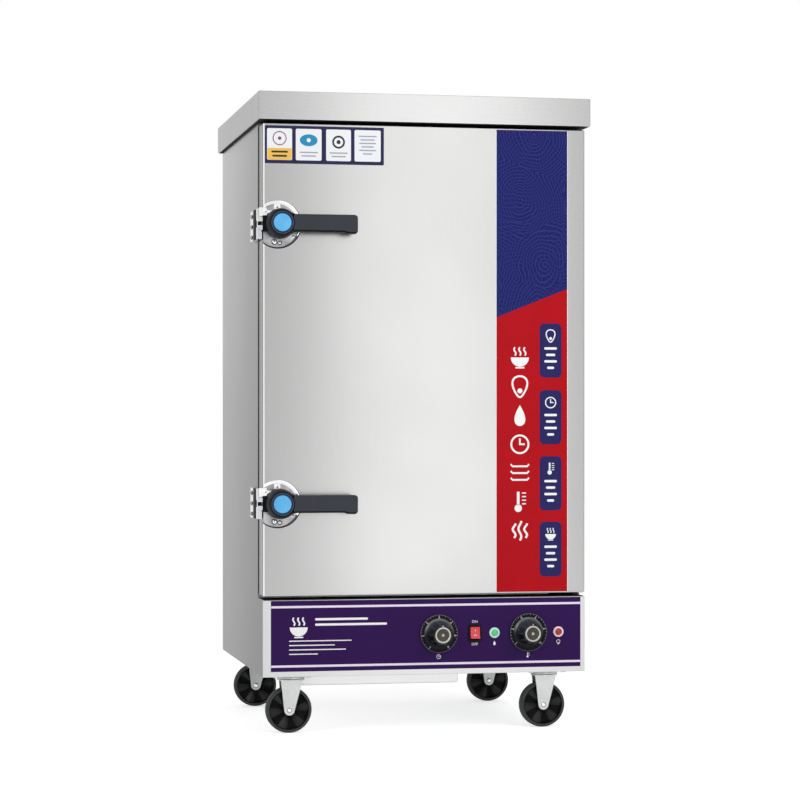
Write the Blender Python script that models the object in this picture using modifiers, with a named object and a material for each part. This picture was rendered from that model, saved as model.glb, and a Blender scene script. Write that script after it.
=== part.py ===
"""Commercial steamer cabinet: a stainless steam chamber with tray runners over a water tank,
one insulated door on pivot pins with two turning latches, a control base and four casters.
Metres, +Z up, front towards -Y. The origin is at floor level under the middle of the cabinet's reach."""

import math

import bmesh
import bpy
from mathutils import Vector

# Sheet, fits and finish
SHEET = 0.0012
FIT = 0.0003
RUNNING_GAP = 0.0005
OVERRUN = 0.020
FOLD_RADIUS = 0.002
WELD_DISTANCE = 0.00002
ROUND_STEPS = 20
FINE_STEPS = 24
SMALL_STEPS = 12
RIVET_STEPS = 8

# Cabinet
HEIGHT = 1.320
BODY_WIDTH = 0.680
BODY_DEPTH = 0.650
BASE_BOTTOM = 0.1225
BASE_HEIGHT = 0.1575
FLANGE = 0.014
WALL = 0.034

# Top cover
COVER_HEIGHT = 0.058
COVER_OVERHANG = 0.010

# Door
DOOR_THICKNESS = 0.060
DOOR_TOP_GAP = 0.0065
DOOR_BOTTOM_GAP = 0.0075
DOOR_FOLD_RADIUS = 0.003
DOOR_RETURN = 0.014
DISH_BORDER = 0.050
DISH_DEPTH = 0.005
GASKET_GAP = 0.012
GASKET_WIDTH = 0.016
GASKET_INSET = 0.015
GASKET_CORNER = 0.020
FRAME_MARGIN = 0.003
CHAMBER_CORNER = 0.010

# Door hinges
PIVOT_FROM_EDGE = 0.013
PIVOT_FROM_BACK = 0.022
PIN_RADIUS = 0.004
PIN_LENGTH = 0.012
PIN_CLEARANCE = 0.0005
BRACKET_THICKNESS = 0.004
BRACKET_EYE = 0.011
BRACKET_LEG_HEIGHT = 0.019
BRACKET_LEG_WIDTH = 0.058
BRACKET_LEG_THICKNESS = 0.003
WASHER_RADIUS = 0.008

# Door latches
LATCH_FROM_EDGE = 0.034
UPPER_LATCH_DROP = 0.2065
LOWER_LATCH_RISE = 0.190
PLATE_RADIUS = 0.0485
PLATE_THICKNESS = 0.004
PLATE_RIM = 0.004
PLATE_OFFSET = 0.004
PLATE_EDGE_GAP = 0.0005
SPINDLE_RADIUS = 0.012
CLAW_RADIUS = 0.027
CLAW_THICKNESS = 0.008
CLAW_REACH = 0.0455
CLAW_WIDTH = 0.026
CLAW_NOTCH_DEPTH = 0.009
CLAW_NOTCH_WIDTH = 0.008
LUG_RISE = 0.018
LUG_HEIGHT = 0.015
LUG_WIDTH = 0.020
LUG_OVERHANG = 0.008
LUG_THICKNESS = 0.007
HUB_RADIUS = 0.031
HUB_HEIGHT = 0.033
HUB_CHAMFER = 0.005
LEVER_REACH = 0.156
LEVER_WIDTH = 0.036
LEVER_THICKNESS = 0.017
LEVER_ROUNDING = 0.004
LEVER_ROOT_FILLET = 0.012
LEVER_CORNER = 0.007
LEVER_LIP = 0.003
LEVER_LIP_LENGTH = 0.018
CAP_RADIUS = 0.019
CAP_THICKNESS = 0.005
CAP_SEAT_DEPTH = 0.0035
KEEPER_HEIGHT = 0.062
KEEPER_FLANGE_DEPTH = 0.044
KEEPER_FLANGE_THICKNESS = 0.004
KEEPER_LOBES = 3
KEEPER_LOBE_RADIUS = 0.0095
KEEPER_SETBACK = 0.008
KEEPER_ARM_THICKNESS = 0.009
KEEPER_DOOR_GAP = 0.0025
KEEPER_SLOT_HEIGHT = 0.014
KEEPER_SLOT_LENGTH = 0.016
KEEPER_NOTCH_DEPTH = 0.006

# Tray racks
RACK_LEVELS = 8
RACK_BOTTOM_SPACE = 0.060
RACK_TOP_SPACE = 0.105
RUNNER_END_GAP = 0.03565
RUNNER_SHELF = 0.016
RUNNER_LEG = 0.014
RUNNER_THICKNESS = 0.0015
UPRIGHT_THICKNESS = 0.003
UPRIGHT_WIDTH = 0.024
UPRIGHT_FROM_END = 0.060
RUNNER_BITE = 0.0008

# Water tank and heater
TANK_FROM_SIDE = 0.100
TANK_DEPTH_BELOW = 0.112
TANK_FRONT_SETBACK = 0.060
TANK_BACK_SETBACK = 0.040
TANK_CORNER = 0.012
TANK_RIM = 0.012
HEATER_HAIRPINS = 3
HEATER_TUBE_RADIUS = 0.0045
HEATER_HAIRPIN_WIDTH = 0.036
HEATER_PITCH = 0.064
HEATER_BACK_GAP = 0.113
HEATER_RISE = 0.026
HEATER_PLATE_HEIGHT = 0.036
HEATER_PLATE_MARGIN = 0.014
HEATER_PLATE_THICKNESS = 0.004
HEATER_TERMINAL = 0.014

# Float valve and water inlet
VALVE_FROM_TANK_BACK = 0.090
VALVE_DROP = 0.026
VALVE_RADIUS = 0.008
VALVE_FLANGE_RADIUS = 0.012
VALVE_FLANGE_THICKNESS = 0.003
VALVE_SNOUT = 0.016
VALVE_TAIL = 0.014
VALVE_EAR_LENGTH = 0.016
VALVE_EAR_WIDTH = 0.016
FLOAT_EYE_RADIUS = 0.004
FLOAT_EYE_WIDTH = 0.007
FLOAT_PIN_RADIUS = 0.0018
FLOAT_ARM_RADIUS = 0.0025
FLOAT_ARM_LENGTH = 0.095
FLOAT_BALL_RADIUS = 0.026
FLOAT_DROOP = math.radians(10)
FEED_PIPE_RADIUS = 0.006
FEED_PIPE_BEND = 0.018

# Fittings on the back
FITTING_FROM_EDGE = 0.0145
GLAND_RISE = 0.112
GLAND_RADIUS = 0.0118
GLAND_REACH = 0.027
GLAND_BORE = 0.005
INLET_RISE = 0.039
INLET_RADIUS = 0.0095
INLET_REACH = 0.025
INLET_BORE = 0.0065
FITTING_NUT_RADIUS = 0.0118
FITTING_NUT_THICKNESS = 0.006
FITTING_SHANK_RADIUS = 0.008
VENT_RADIUS = 0.011
VENT_BORE = 0.009
VENT_REACH = 0.020
VENT_DROP = 0.070
VENT_COLLAR = 0.018
DRAIN_FROM_TANK_SIDE = 0.080
DRAIN_PIPE_RADIUS = 0.008
DRAIN_BODY_RADIUS = 0.014
DRAIN_BORE = 0.006
DRAIN_BORE_DEPTH = 0.014
DRAIN_REACH = 0.046
DRAIN_STEM_RADIUS = 0.007
DRAIN_STEM_HEIGHT = 0.007
DRAIN_HANDLE_LENGTH = 0.080
DRAIN_HANDLE_WIDTH = 0.012
DRAIN_HANDLE_THICKNESS = 0.0025
DRAIN_HANDLE_STEP = 0.010
LOUVRES = 7
LOUVRE_PITCH = 0.016
LOUVRE_LENGTH = 0.060
LOUVRE_WIDTH = 0.005
LOUVRE_RISE = 0.032

# Controls
CONTROL_RISE = 0.084
TIMER_FROM_EDGE = 0.313
ROCKER_FROM_EDGE = 0.2365
GREEN_LAMP_FROM_EDGE = 0.1944
THERMOSTAT_FROM_EDGE = 0.1227
RED_LAMP_FROM_EDGE = 0.0574
KNOB_SKIRT_RADIUS = 0.040
KNOB_SKIRT_THICKNESS = 0.004
KNOB_SKIRT_CHAMFER = 0.0015
KNOB_GRIP_RADIUS = 0.026
KNOB_TOP_RADIUS = 0.0205
KNOB_HEIGHT = 0.043
KNOB_STAND = 0.0015
KNOB_RECESS_RADIUS = 0.0085
KNOB_RECESS_DEPTH = 0.005
KNOB_FLUTES = 10
KNOB_FLUTE_RADIUS = 0.0035
KNOB_CAP_RADIUS = 0.0170
KNOB_CAP_THICKNESS = 0.003
KNOB_CAP_SEAT = 0.002
SHAFT_RADIUS = 0.003
SHAFT_CLEARANCE = 0.0005
SHAFT_LENGTH = 0.010
BUSH_RADIUS = 0.0055
BUSH_PROUD = 0.0045
UNIT_SIDE = 0.046
UNIT_DEPTH = 0.030
UNIT_ROUNDING = 0.003
ROCKER_BEZEL_WIDTH = 0.0285
ROCKER_BEZEL_HEIGHT = 0.0360
ROCKER_BEZEL_THICKNESS = 0.002
ROCKER_BODY_WIDTH = 0.0245
ROCKER_BODY_HEIGHT = 0.0315
ROCKER_BODY_DEPTH = 0.022
ROCKER_WIDTH = 0.0195
ROCKER_HEIGHT = 0.0240
ROCKER_CLEARANCE = 0.0005
ROCKER_TOE_ROOM = 0.0018
ROCKER_POCKET_DEPTH = 0.010
ROCKER_EDGE_PROUD = 0.0060
ROCKER_MIDDLE_PROUD = 0.0030
ROCKER_BACK = 0.003
ROCKER_TILT = math.radians(9)
LAMP_BEZEL_RADIUS = 0.011
LAMP_BEZEL_PROUD = 0.003
LAMP_LENS_RADIUS = 0.0075
LAMP_LENS_PROUD = 0.0065
LAMP_BODY_RADIUS = 0.0055
LAMP_BODY_DEPTH = 0.024
CONTACTOR_WIDTH = 0.045
CONTACTOR_DEPTH = 0.052
CONTACTOR_HEIGHT = 0.078
CONTACTOR_FROM_EDGE = 0.520
CONTACTOR_STEP = 0.012

# Base and bottom pans
PAN_THICKNESS = 0.002
PAN_EDGE = 0.018
BOTTOM_PAN_HANG = 0.034
BOTTOM_PAN_WIDTH = 0.360
BOTTOM_PAN_FROM_LEFT = 0.080
BOTTOM_PAN_SETBACK = 0.140

# Casters
WHEEL_RADIUS = 0.048
WHEEL_WIDTH = 0.025
TREAD_WIDTH = 0.018
TREAD_DEPTH = 0.006
RIM_DEPTH = 0.010
WEB_THICKNESS = 0.010
WHEEL_HUB_RADIUS = 0.013
AXLE_RADIUS = 0.005
AXLE_CLEARANCE = 0.0006
CASTER_TRAIL = 0.005
CASTER_FROM_SIDE = 0.069
CASTER_FROM_FRONT = 0.075
CASTER_FROM_BACK = 0.075
CASTER_PLATE_WIDTH = 0.086
CASTER_PLATE_DEPTH = 0.072
CASTER_PLATE_THICKNESS = 0.003
CASTER_PLATE_CORNER = 0.010
RACEWAY_RADIUS = 0.030
RACEWAY_HEIGHT = 0.007
RACEWAY_CHAMFER = 0.003
KING_PIN_RADIUS = 0.006
KING_PIN_HEAD_RADIUS = 0.009
KING_PIN_HEAD = 0.0025
FORK_CROWN_RADIUS = 0.029
FORK_CROWN_THICKNESS = 0.004
FORK_LEG_THICKNESS = 0.0025
FORK_LEG_TOP = 0.046
FORK_TIP_RADIUS = 0.011
FORK_WHEEL_GAP = 0.0020
RIVET_RADIUS = 0.0065
RIVET_HEAD = 0.002

# Derived planes
HANDLE_REACH = (
    FIT + PLATE_THICKNESS + RUNNING_GAP + CLAW_THICKNESS + RUNNING_GAP
    + HUB_HEIGHT + CAP_THICKNESS - CAP_SEAT_DEPTH
)
FRONT_Y = (HANDLE_REACH - BODY_DEPTH - DRAIN_REACH) / 2
BACK_Y = FRONT_Y + BODY_DEPTH
BODY_FRONT_Y = FRONT_Y + DOOR_THICKNESS + GASKET_GAP
INNER_BACK_Y = BACK_Y - 2 * SHEET - 2 * FIT
HALF_WIDTH = BODY_WIDTH / 2
INNER_HALF_WIDTH = HALF_WIDTH - SHEET - FIT
BASE_TOP = BASE_BOTTOM + BASE_HEIGHT
COVER_BOTTOM = HEIGHT - COVER_HEIGHT
BODY_TOP = HEIGHT - SHEET - FIT
DOOR_BOTTOM = BASE_TOP + DOOR_BOTTOM_GAP
DOOR_TOP = COVER_BOTTOM - DOOR_TOP_GAP
DOOR_FRONT_INSIDE = FRONT_Y + SHEET + FIT
DOOR_BACK_Y = FRONT_Y + DOOR_THICKNESS
PIVOT_X = HALF_WIDTH - PIVOT_FROM_EDGE
PIVOT_Y = DOOR_BACK_Y - PIVOT_FROM_BACK
WINDOW_INSET = GASKET_INSET + GASKET_WIDTH + FRAME_MARGIN
WINDOW_HALF = HALF_WIDTH - WINDOW_INSET
WINDOW_BOTTOM = DOOR_BOTTOM + WINDOW_INSET
WINDOW_TOP = DOOR_TOP - WINDOW_INSET
LINER_FRONT_Y = BODY_FRONT_Y + SHEET + FIT
LINER_BACK_Y = BACK_Y - WALL
RUNNER_LENGTH = LINER_BACK_Y - SHEET - LINER_FRONT_Y - 2 * RUNNER_END_GAP
TANK_TOP = WINDOW_BOTTOM - SHEET - FIT
TANK_BOTTOM = TANK_TOP - TANK_DEPTH_BELOW
TANK_FRONT_Y = BODY_FRONT_Y + TANK_FRONT_SETBACK
TANK_BACK_Y = LINER_BACK_Y - TANK_BACK_SETBACK
TANK_HALF = HALF_WIDTH - TANK_FROM_SIDE
DRAIN_X = TANK_HALF - DRAIN_FROM_TANK_SIDE
LATCH_X = -HALF_WIDTH + LATCH_FROM_EDGE
LATCH_HEIGHTS = {"upper": DOOR_TOP - UPPER_LATCH_DROP, "lower": DOOR_BOTTOM + LOWER_LATCH_RISE}
PLATE_FRONT_Y = FRONT_Y - FIT - PLATE_THICKNESS
CLAW_BACK_Y = PLATE_FRONT_Y - RUNNING_GAP
CLAW_FRONT_Y = CLAW_BACK_Y - CLAW_THICKNESS
HUB_BACK_Y = CLAW_FRONT_Y - RUNNING_GAP
HUB_FRONT_Y = HUB_BACK_Y - HUB_HEIGHT
CONTROL_Z = BASE_BOTTOM + CONTROL_RISE
PAN_BOTTOM = BASE_BOTTOM + SHEET + FIT
CASTER_TOP = PAN_BOTTOM - FIT

TO_FRONT = (math.pi / 2, 0, 0)
TO_BACK = (-math.pi / 2, 0, 0)
TO_RIGHT = (0, math.pi / 2, 0)
TO_SIDE = (math.pi / 2, 0, math.pi / 2)
UPRIGHT = (0, 0, 0)
DOWNWARD = (math.pi, 0, 0)


def new_collection(name):
    collection = bpy.data.collections.new(name)
    bpy.context.scene.collection.children.link(collection)
    return collection


for leftover in list(bpy.data.objects):
    bpy.data.objects.remove(leftover, do_unlink=True)
PARTS = new_collection("steamer_cabinet")
TOOLS = new_collection("cutters")
TOOLS.hide_render = True


def material(name, colour, roughness, metallic=0.0):
    made = bpy.data.materials.new(name)
    made.use_nodes = True
    shader = made.node_tree.nodes["Principled BSDF"]
    shader.inputs["Base Color"].default_value = (*colour, 1.0)
    shader.inputs["Roughness"].default_value = roughness
    shader.inputs["Metallic"].default_value = metallic
    made.diffuse_color = (*colour, 1.0)
    return made


STEEL = material("brushed_stainless", (0.60, 0.60, 0.59), 0.34, 1.0)
LINER_STEEL = material("liner_stainless", (0.62, 0.62, 0.61), 0.42, 1.0)
ZINC = material("zinc_plated", (0.55, 0.56, 0.57), 0.38, 1.0)
CHROME = material("chrome", (0.78, 0.78, 0.79), 0.12, 1.0)
BRASS = material("brass", (0.66, 0.48, 0.22), 0.32, 1.0)
HEATER_STEEL = material("heater_sheath", (0.42, 0.40, 0.38), 0.45, 1.0)
BLACK = material("black_plastic", (0.022, 0.024, 0.028), 0.42)
BLUE = material("blue_plastic", (0.12, 0.46, 0.83), 0.38)
RUBBER = material("gasket_rubber", (0.05, 0.05, 0.05), 0.75)
WHEEL_PLASTIC = material("wheel_plastic", (0.030, 0.031, 0.033), 0.55)
FOAM = material("insulation_foam", (0.72, 0.62, 0.38), 0.95)
RED = material("red_plastic", (0.75, 0.03, 0.03), 0.30)
GREEN_LENS = material("green_lens", (0.05, 0.45, 0.22), 0.20)
RED_LENS = material("red_lens", (0.70, 0.05, 0.05), 0.20)
CREAM = material("switchgear_plastic", (0.55, 0.55, 0.52), 0.50)


def show(name, mesh, finish, location, rotation=UPRIGHT):
    """An object in the parts collection, with its mesh placed by location and rotation."""
    item = bpy.data.objects.new(name, mesh)
    item.location = location
    item.rotation_euler = rotation
    mesh.materials.append(finish)
    PARTS.objects.link(item)
    return item


def as_tool(item):
    """Moves an object to the cutters, out of the render."""
    PARTS.objects.unlink(item)
    TOOLS.objects.link(item)
    item.hide_render = True
    item.display_type = "WIRE"
    return item


def combine(item, tool, operation):
    change = item.modifiers.new(operation.lower(), "BOOLEAN")
    change.operation = operation
    change.object = tool
    change.solver = "EXACT"
    if tool.name in PARTS.objects:
        as_tool(tool)
    return item


def cut(item, *tools):
    for tool in tools:
        combine(item, tool, "DIFFERENCE")
    return item


def join(item, *tools):
    for tool in tools:
        combine(item, tool, "UNION")
    return item


def bevel(item, width, segments=2):
    rounding = item.modifiers.new("rounding", "BEVEL")
    rounding.width = width
    rounding.segments = segments
    rounding.limit_method = "ANGLE"
    return item


def finished_mesh(shape, name):
    mesh = bpy.data.meshes.new(name)
    shape.to_mesh(mesh)
    shape.free()
    return mesh


def smooth(mesh):
    mesh.shade_smooth()
    mesh.set_sharp_from_angle(angle=math.radians(35))
    return mesh


def box(name, low, high, finish=STEEL, rounding=0, segments=2):
    """A box between two corners, its edges rounded by a Bevel."""
    low, high = Vector(low), Vector(high)
    shape = bmesh.new()
    bmesh.ops.create_cube(shape, size=1)
    bmesh.ops.scale(shape, vec=high - low, verts=shape.verts)
    item = show(name, finished_mesh(shape, name), finish, (low + high) / 2)
    if rounding:
        bevel(item, rounding, segments)
    return item


def rod(name, radius, length, start, turn, finish=STEEL, sides=ROUND_STEPS):
    """A round bar from its start along the direction that turn gives to its own +Z."""
    shape = bmesh.new()
    bmesh.ops.create_cone(
        shape, cap_ends=True, segments=sides, radius1=radius, radius2=radius, depth=length
    )
    bmesh.ops.translate(shape, vec=(0, 0, length / 2), verts=shape.verts)
    return show(name, smooth(finished_mesh(shape, name)), finish, start, turn)


def turned(name, profile, start, turn, finish=STEEL, steps=ROUND_STEPS, ring=False):
    """A turned shape. The profile holds (radius, height) points down its outer side."""
    mesh = bpy.data.meshes.new(name)
    edges = [(at, at + 1) for at in range(len(profile) - 1)]
    if ring:
        edges.append((len(profile) - 1, 0))
    mesh.from_pydata([(radius, 0, height) for radius, height in profile], edges, [])
    item = show(name, mesh, finish, start, turn)
    screw = item.modifiers.new("turning", "SCREW")
    screw.steps = screw.render_steps = steps
    screw.use_merge_vertices = True
    screw.merge_threshold = WELD_DISTANCE
    screw.use_smooth_shade = True
    screw.use_normal_flip = False
    return item


def as_mesh(item):
    """The curve's evaluated mesh with its caps welded, in place of the curve."""
    bpy.context.view_layer.update()
    source = item.evaluated_get(bpy.context.evaluated_depsgraph_get())
    mesh = bpy.data.meshes.new_from_object(source)
    shape = bmesh.new()
    shape.from_mesh(mesh)
    bmesh.ops.remove_doubles(shape, verts=shape.verts, dist=WELD_DISTANCE)
    bmesh.ops.recalc_face_normals(shape, faces=shape.faces)
    shape.to_mesh(mesh)
    shape.free()
    name, matrix = item.name, item.matrix_world.copy()
    bpy.data.objects.remove(item, do_unlink=True)
    solid = bpy.data.objects.new(name, mesh)
    solid.matrix_world = matrix
    PARTS.objects.link(solid)
    return solid


def plate(name, outlines, thickness, location, turn, finish=STEEL):
    """A flat plate from closed outlines in its own X and Y, its thickness centred on them."""
    curve = bpy.data.curves.new(name, "CURVE")
    curve.dimensions = "2D"
    curve.fill_mode = "BOTH"
    curve.extrude = thickness / 2
    for outline in outlines:
        spline = curve.splines.new("POLY")
        spline.points.add(len(outline) - 1)
        for point, (x, y) in zip(spline.points, outline):
            point.co = (x, y, 0, 1)
        spline.use_cyclic_u = True
    return as_mesh(show(name, curve, finish, location, turn))


def tube(name, points, radius, finish=STEEL, bevel_steps=2):
    """A round tube or wire through the points, with filled caps."""
    curve = bpy.data.curves.new(name, "CURVE")
    curve.dimensions = "3D"
    curve.bevel_depth = radius
    curve.bevel_resolution = bevel_steps
    curve.use_fill_caps = True
    spline = curve.splines.new("POLY")
    spline.points.add(len(points) - 1)
    for point, place in zip(spline.points, points):
        point.co = (*place, 1)
    return as_mesh(show(name, curve, finish, (0, 0, 0)))


def arc(centre, radius, start, end, steps):
    """Points along an arc, angles in radians."""
    turns = [start + (end - start) * step / steps for step in range(steps + 1)]
    return [(centre[0] + radius * math.cos(a), centre[1] + radius * math.sin(a)) for a in turns]


def rounded_rectangle(width, height, radius, steps=4):
    corners = []
    for quarter in range(4):
        sign_x = (1, -1, -1, 1)[quarter]
        sign_y = (1, 1, -1, -1)[quarter]
        centre = (sign_x * (width / 2 - radius), sign_y * (height / 2 - radius))
        start = quarter * math.pi / 2
        corners += arc(centre, radius, start, start + math.pi / 2, steps)
    return corners


def bent_path(points, radius, steps):
    """The polyline with each inner corner rounded by a smooth bend."""
    points = [Vector(point) for point in points]
    path = [points[0]]
    for before, corner, after in zip(points, points[1:], points[2:]):
        start = corner + (before - corner).normalized() * radius
        end = corner + (after - corner).normalized() * radius
        for step in range(steps + 1):
            share = step / steps
            path.append(
                start * (1 - share) ** 2 + corner * 2 * share * (1 - share) + end * share**2
            )
    path.append(points[-1])
    return path


def open_tray(name, low, high, wall, radius, open_side, finish=STEEL, segments=2):
    """A folded sheet tray inside the two corners, open on one side, such as '+Z'."""
    low, high = Vector(low), Vector(high)
    axis = "XYZ".index(open_side[1])
    sign = 1 if open_side[0] == "+" else -1
    shape = bmesh.new()
    bmesh.ops.create_cube(shape, size=1)
    bmesh.ops.scale(shape, vec=high - low, verts=shape.verts)
    lid = [face for face in shape.faces if face.normal[axis] * sign > math.cos(math.pi / 4)]
    bmesh.ops.delete(shape, geom=lid, context="FACES")
    folds = [edge for edge in shape.edges if not edge.is_boundary]
    bmesh.ops.bevel(
        shape, geom=folds, offset=radius, segments=segments, profile=1 / 2, affect="EDGES"
    )
    item = show(name, finished_mesh(shape, name), finish, (low + high) / 2)
    sheet = item.modifiers.new("sheet", "SOLIDIFY")
    sheet.thickness = wall
    sheet.offset = -1
    sheet.use_even_offset = True
    return item


def axis_empty(name, location, holder=None):
    """An empty on a joint's axis, which carries the moving pieces."""
    empty = bpy.data.objects.new(name, None)
    empty.location = location
    PARTS.objects.link(empty)
    if holder:
        carry(holder, empty)
    return empty


def carry(holder, *items):
    bpy.context.view_layer.update()
    for item in items:
        item.parent = holder
        item.matrix_parent_inverse = holder.matrix_world.inverted()


def top_cover():
    outer = COVER_OVERHANG + HALF_WIDTH
    cover = box(
        "top_cover",
        (-outer, FRONT_Y - COVER_OVERHANG, COVER_BOTTOM),
        (outer, BACK_Y + COVER_OVERHANG, HEIGHT),
        rounding=FOLD_RADIUS,
    )
    hollow = box(
        "cover_hollow",
        (-outer + SHEET, FRONT_Y - COVER_OVERHANG + SHEET, COVER_BOTTOM + SHEET),
        (outer - SHEET, BACK_Y + COVER_OVERHANG - SHEET, HEIGHT - SHEET),
    )
    mouth = box(
        "cover_mouth",
        (-HALF_WIDTH - FIT, BODY_FRONT_Y - FIT, COVER_BOTTOM - OVERRUN),
        (HALF_WIDTH + FIT, BACK_Y + FIT, COVER_BOTTOM + COVER_HEIGHT / 2),
    )
    return cut(cover, hollow, mouth)


def fitting_holes(name):
    """Cutters through the back for the gland and the water inlet, near the left edge."""
    holes = []
    for label, rise in (("gland", GLAND_RISE), ("inlet", INLET_RISE)):
        start = (fitting_x(), INNER_BACK_Y - OVERRUN, BASE_BOTTOM + rise)
        radius = FITTING_SHANK_RADIUS + FIT
        length = 2 * OVERRUN + SHEET
        hole = rod(f"{name}_{label}_hole", radius, length, start, TO_BACK, sides=SMALL_STEPS)
        holes.append(hole)
    return holes


def fitting_x():
    return -HALF_WIDTH + FITTING_FROM_EDGE


def side_panel(name, side):
    """A side sheet with its back and bottom edges folded in, notched for the door in front."""
    outer = side * HALF_WIDTH
    inner = side * (HALF_WIDTH - FLANGE)
    back = BACK_Y - SHEET - FIT
    front = FRONT_Y + SHEET + FIT
    panel = box(
        name,
        (min(outer, inner), front, BASE_BOTTOM),
        (max(outer, inner), back, BODY_TOP),
    )
    face = side * (HALF_WIDTH - SHEET)
    far = side * (HALF_WIDTH - FLANGE - OVERRUN)
    hollow = box(
        name + "_hollow",
        (min(face, far), front - OVERRUN, BASE_BOTTOM + SHEET),
        (max(face, far), back - SHEET, BODY_TOP + OVERRUN),
    )
    notch = box(
        name + "_notch",
        (min(outer + side * OVERRUN, far), front - OVERRUN, BASE_TOP - SHEET - FIT),
        (max(outer + side * OVERRUN, far), BODY_FRONT_Y, BODY_TOP + OVERRUN),
    )
    cut(panel, hollow, notch)
    if side < 0:
        cut(panel, *fitting_holes(name))
    return panel


def back_panel():
    panel = box(
        "back_panel",
        (-HALF_WIDTH, BACK_Y - SHEET, BASE_BOTTOM),
        (HALF_WIDTH, BACK_Y, BODY_TOP),
    )
    through = 2 * OVERRUN + SHEET
    vent = rod(
        "vent_hole",
        VENT_RADIUS + FIT,
        through,
        (0, BACK_Y - OVERRUN, vent_z()),
        TO_BACK,
        sides=SMALL_STEPS,
    )
    drain = rod(
        "drain_hole",
        DRAIN_PIPE_RADIUS + FIT,
        through,
        (DRAIN_X, BACK_Y - OVERRUN, drain_z()),
        TO_BACK,
        sides=SMALL_STEPS,
    )
    cut(panel, vent, drain, *fitting_holes("back_panel"))
    for number in range(LOUVRES):
        x = (number - (LOUVRES - 1) / 2) * LOUVRE_PITCH
        middle = BASE_BOTTOM + LOUVRE_RISE + LOUVRE_LENGTH / 2
        slot = box(
            f"louvre_slot_{number + 1}",
            (x - LOUVRE_WIDTH / 2, BACK_Y - OVERRUN, middle - LOUVRE_LENGTH / 2),
            (x + LOUVRE_WIDTH / 2, BACK_Y + OVERRUN, middle + LOUVRE_LENGTH / 2),
        )
        cut(panel, slot)
    return panel


def vent_z():
    return WINDOW_TOP - VENT_DROP


def drain_z():
    return TANK_BOTTOM + SHEET + TANK_CORNER + DRAIN_PIPE_RADIUS - FOLD_RADIUS


def front_frame():
    """The face frame round the chamber's window, which the gasket seals on."""
    frame = box(
        "front_frame",
        (-INNER_HALF_WIDTH, BODY_FRONT_Y, BASE_TOP + FIT),
        (INNER_HALF_WIDTH, BODY_FRONT_Y + SHEET, BODY_TOP),
    )
    window = plate(
        "frame_window",
        [rounded_rectangle(2 * WINDOW_HALF, WINDOW_TOP - WINDOW_BOTTOM, CHAMBER_CORNER)],
        2 * OVERRUN,
        (0, BODY_FRONT_Y, (WINDOW_TOP + WINDOW_BOTTOM) / 2),
        TO_FRONT,
    )
    return cut(frame, window)


def tank_cavity(name, top):
    """The tank's inner space up to the height given, which also opens the chamber's floor."""
    return box(
        name,
        (-TANK_HALF + SHEET, TANK_FRONT_Y + SHEET, TANK_BOTTOM + SHEET),
        (TANK_HALF - SHEET, TANK_BACK_Y - SHEET, top),
        rounding=TANK_CORNER,
    )


def chamber_liner():
    liner = open_tray(
        "chamber_liner",
        (-WINDOW_HALF - SHEET, LINER_FRONT_Y, WINDOW_BOTTOM - SHEET),
        (WINDOW_HALF + SHEET, LINER_BACK_Y, WINDOW_TOP + SHEET),
        SHEET,
        CHAMBER_CORNER,
        "-Y",
        LINER_STEEL,
    )
    vent = rod(
        "liner_vent_hole",
        VENT_RADIUS + FIT,
        2 * OVERRUN,
        (0, LINER_BACK_Y - OVERRUN, vent_z()),
        TO_BACK,
        sides=SMALL_STEPS,
    )
    return cut(liner, tank_cavity("floor_opening", WINDOW_BOTTOM + OVERRUN), vent)


def water_tank():
    tank = box(
        "water_tank",
        (-TANK_HALF, TANK_FRONT_Y, TANK_BOTTOM),
        (TANK_HALF, TANK_BACK_Y, TANK_TOP - SHEET / 2),
        LINER_STEEL,
        TANK_CORNER + SHEET,
    )
    rim = box(
        "tank_rim",
        (-TANK_HALF - TANK_RIM, TANK_FRONT_Y - TANK_RIM, TANK_TOP - 2 * SHEET),
        (TANK_HALF + TANK_RIM, TANK_BACK_Y + TANK_RIM, TANK_TOP),
    )
    neck = box(
        "tank_neck",
        (-TANK_HALF, TANK_FRONT_Y, TANK_BOTTOM + TANK_DEPTH_BELOW / 2),
        (TANK_HALF, TANK_BACK_Y, TANK_TOP - SHEET),
    )
    join(tank, neck, rim)
    heater_slot = plate(
        "heater_slot",
        [rounded_rectangle(heater_width(), heater_slot_height(), heater_slot_height() / 2)],
        2 * OVERRUN,
        (0, TANK_FRONT_Y, heater_z()),
        TO_FRONT,
    )
    drain = rod(
        "tank_drain_hole",
        DRAIN_PIPE_RADIUS + FIT,
        2 * OVERRUN,
        (DRAIN_X, TANK_BACK_Y - OVERRUN, drain_z()),
        TO_BACK,
        sides=SMALL_STEPS,
    )
    valve = rod(
        "tank_valve_hole",
        VALVE_RADIUS + FIT,
        2 * OVERRUN,
        (-TANK_HALF - OVERRUN, valve_y(), valve_z()),
        TO_RIGHT,
        sides=SMALL_STEPS,
    )
    return cut(
        tank, tank_cavity("tank_hollow", TANK_TOP + OVERRUN), heater_slot, drain, valve
    )


def heater_z():
    return TANK_BOTTOM + HEATER_RISE


def heater_width():
    return (HEATER_HAIRPINS - 1) * HEATER_PITCH + HEATER_HAIRPIN_WIDTH + heater_slot_height()


def heater_slot_height():
    return 2 * (HEATER_TUBE_RADIUS + RUNNING_GAP)


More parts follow.
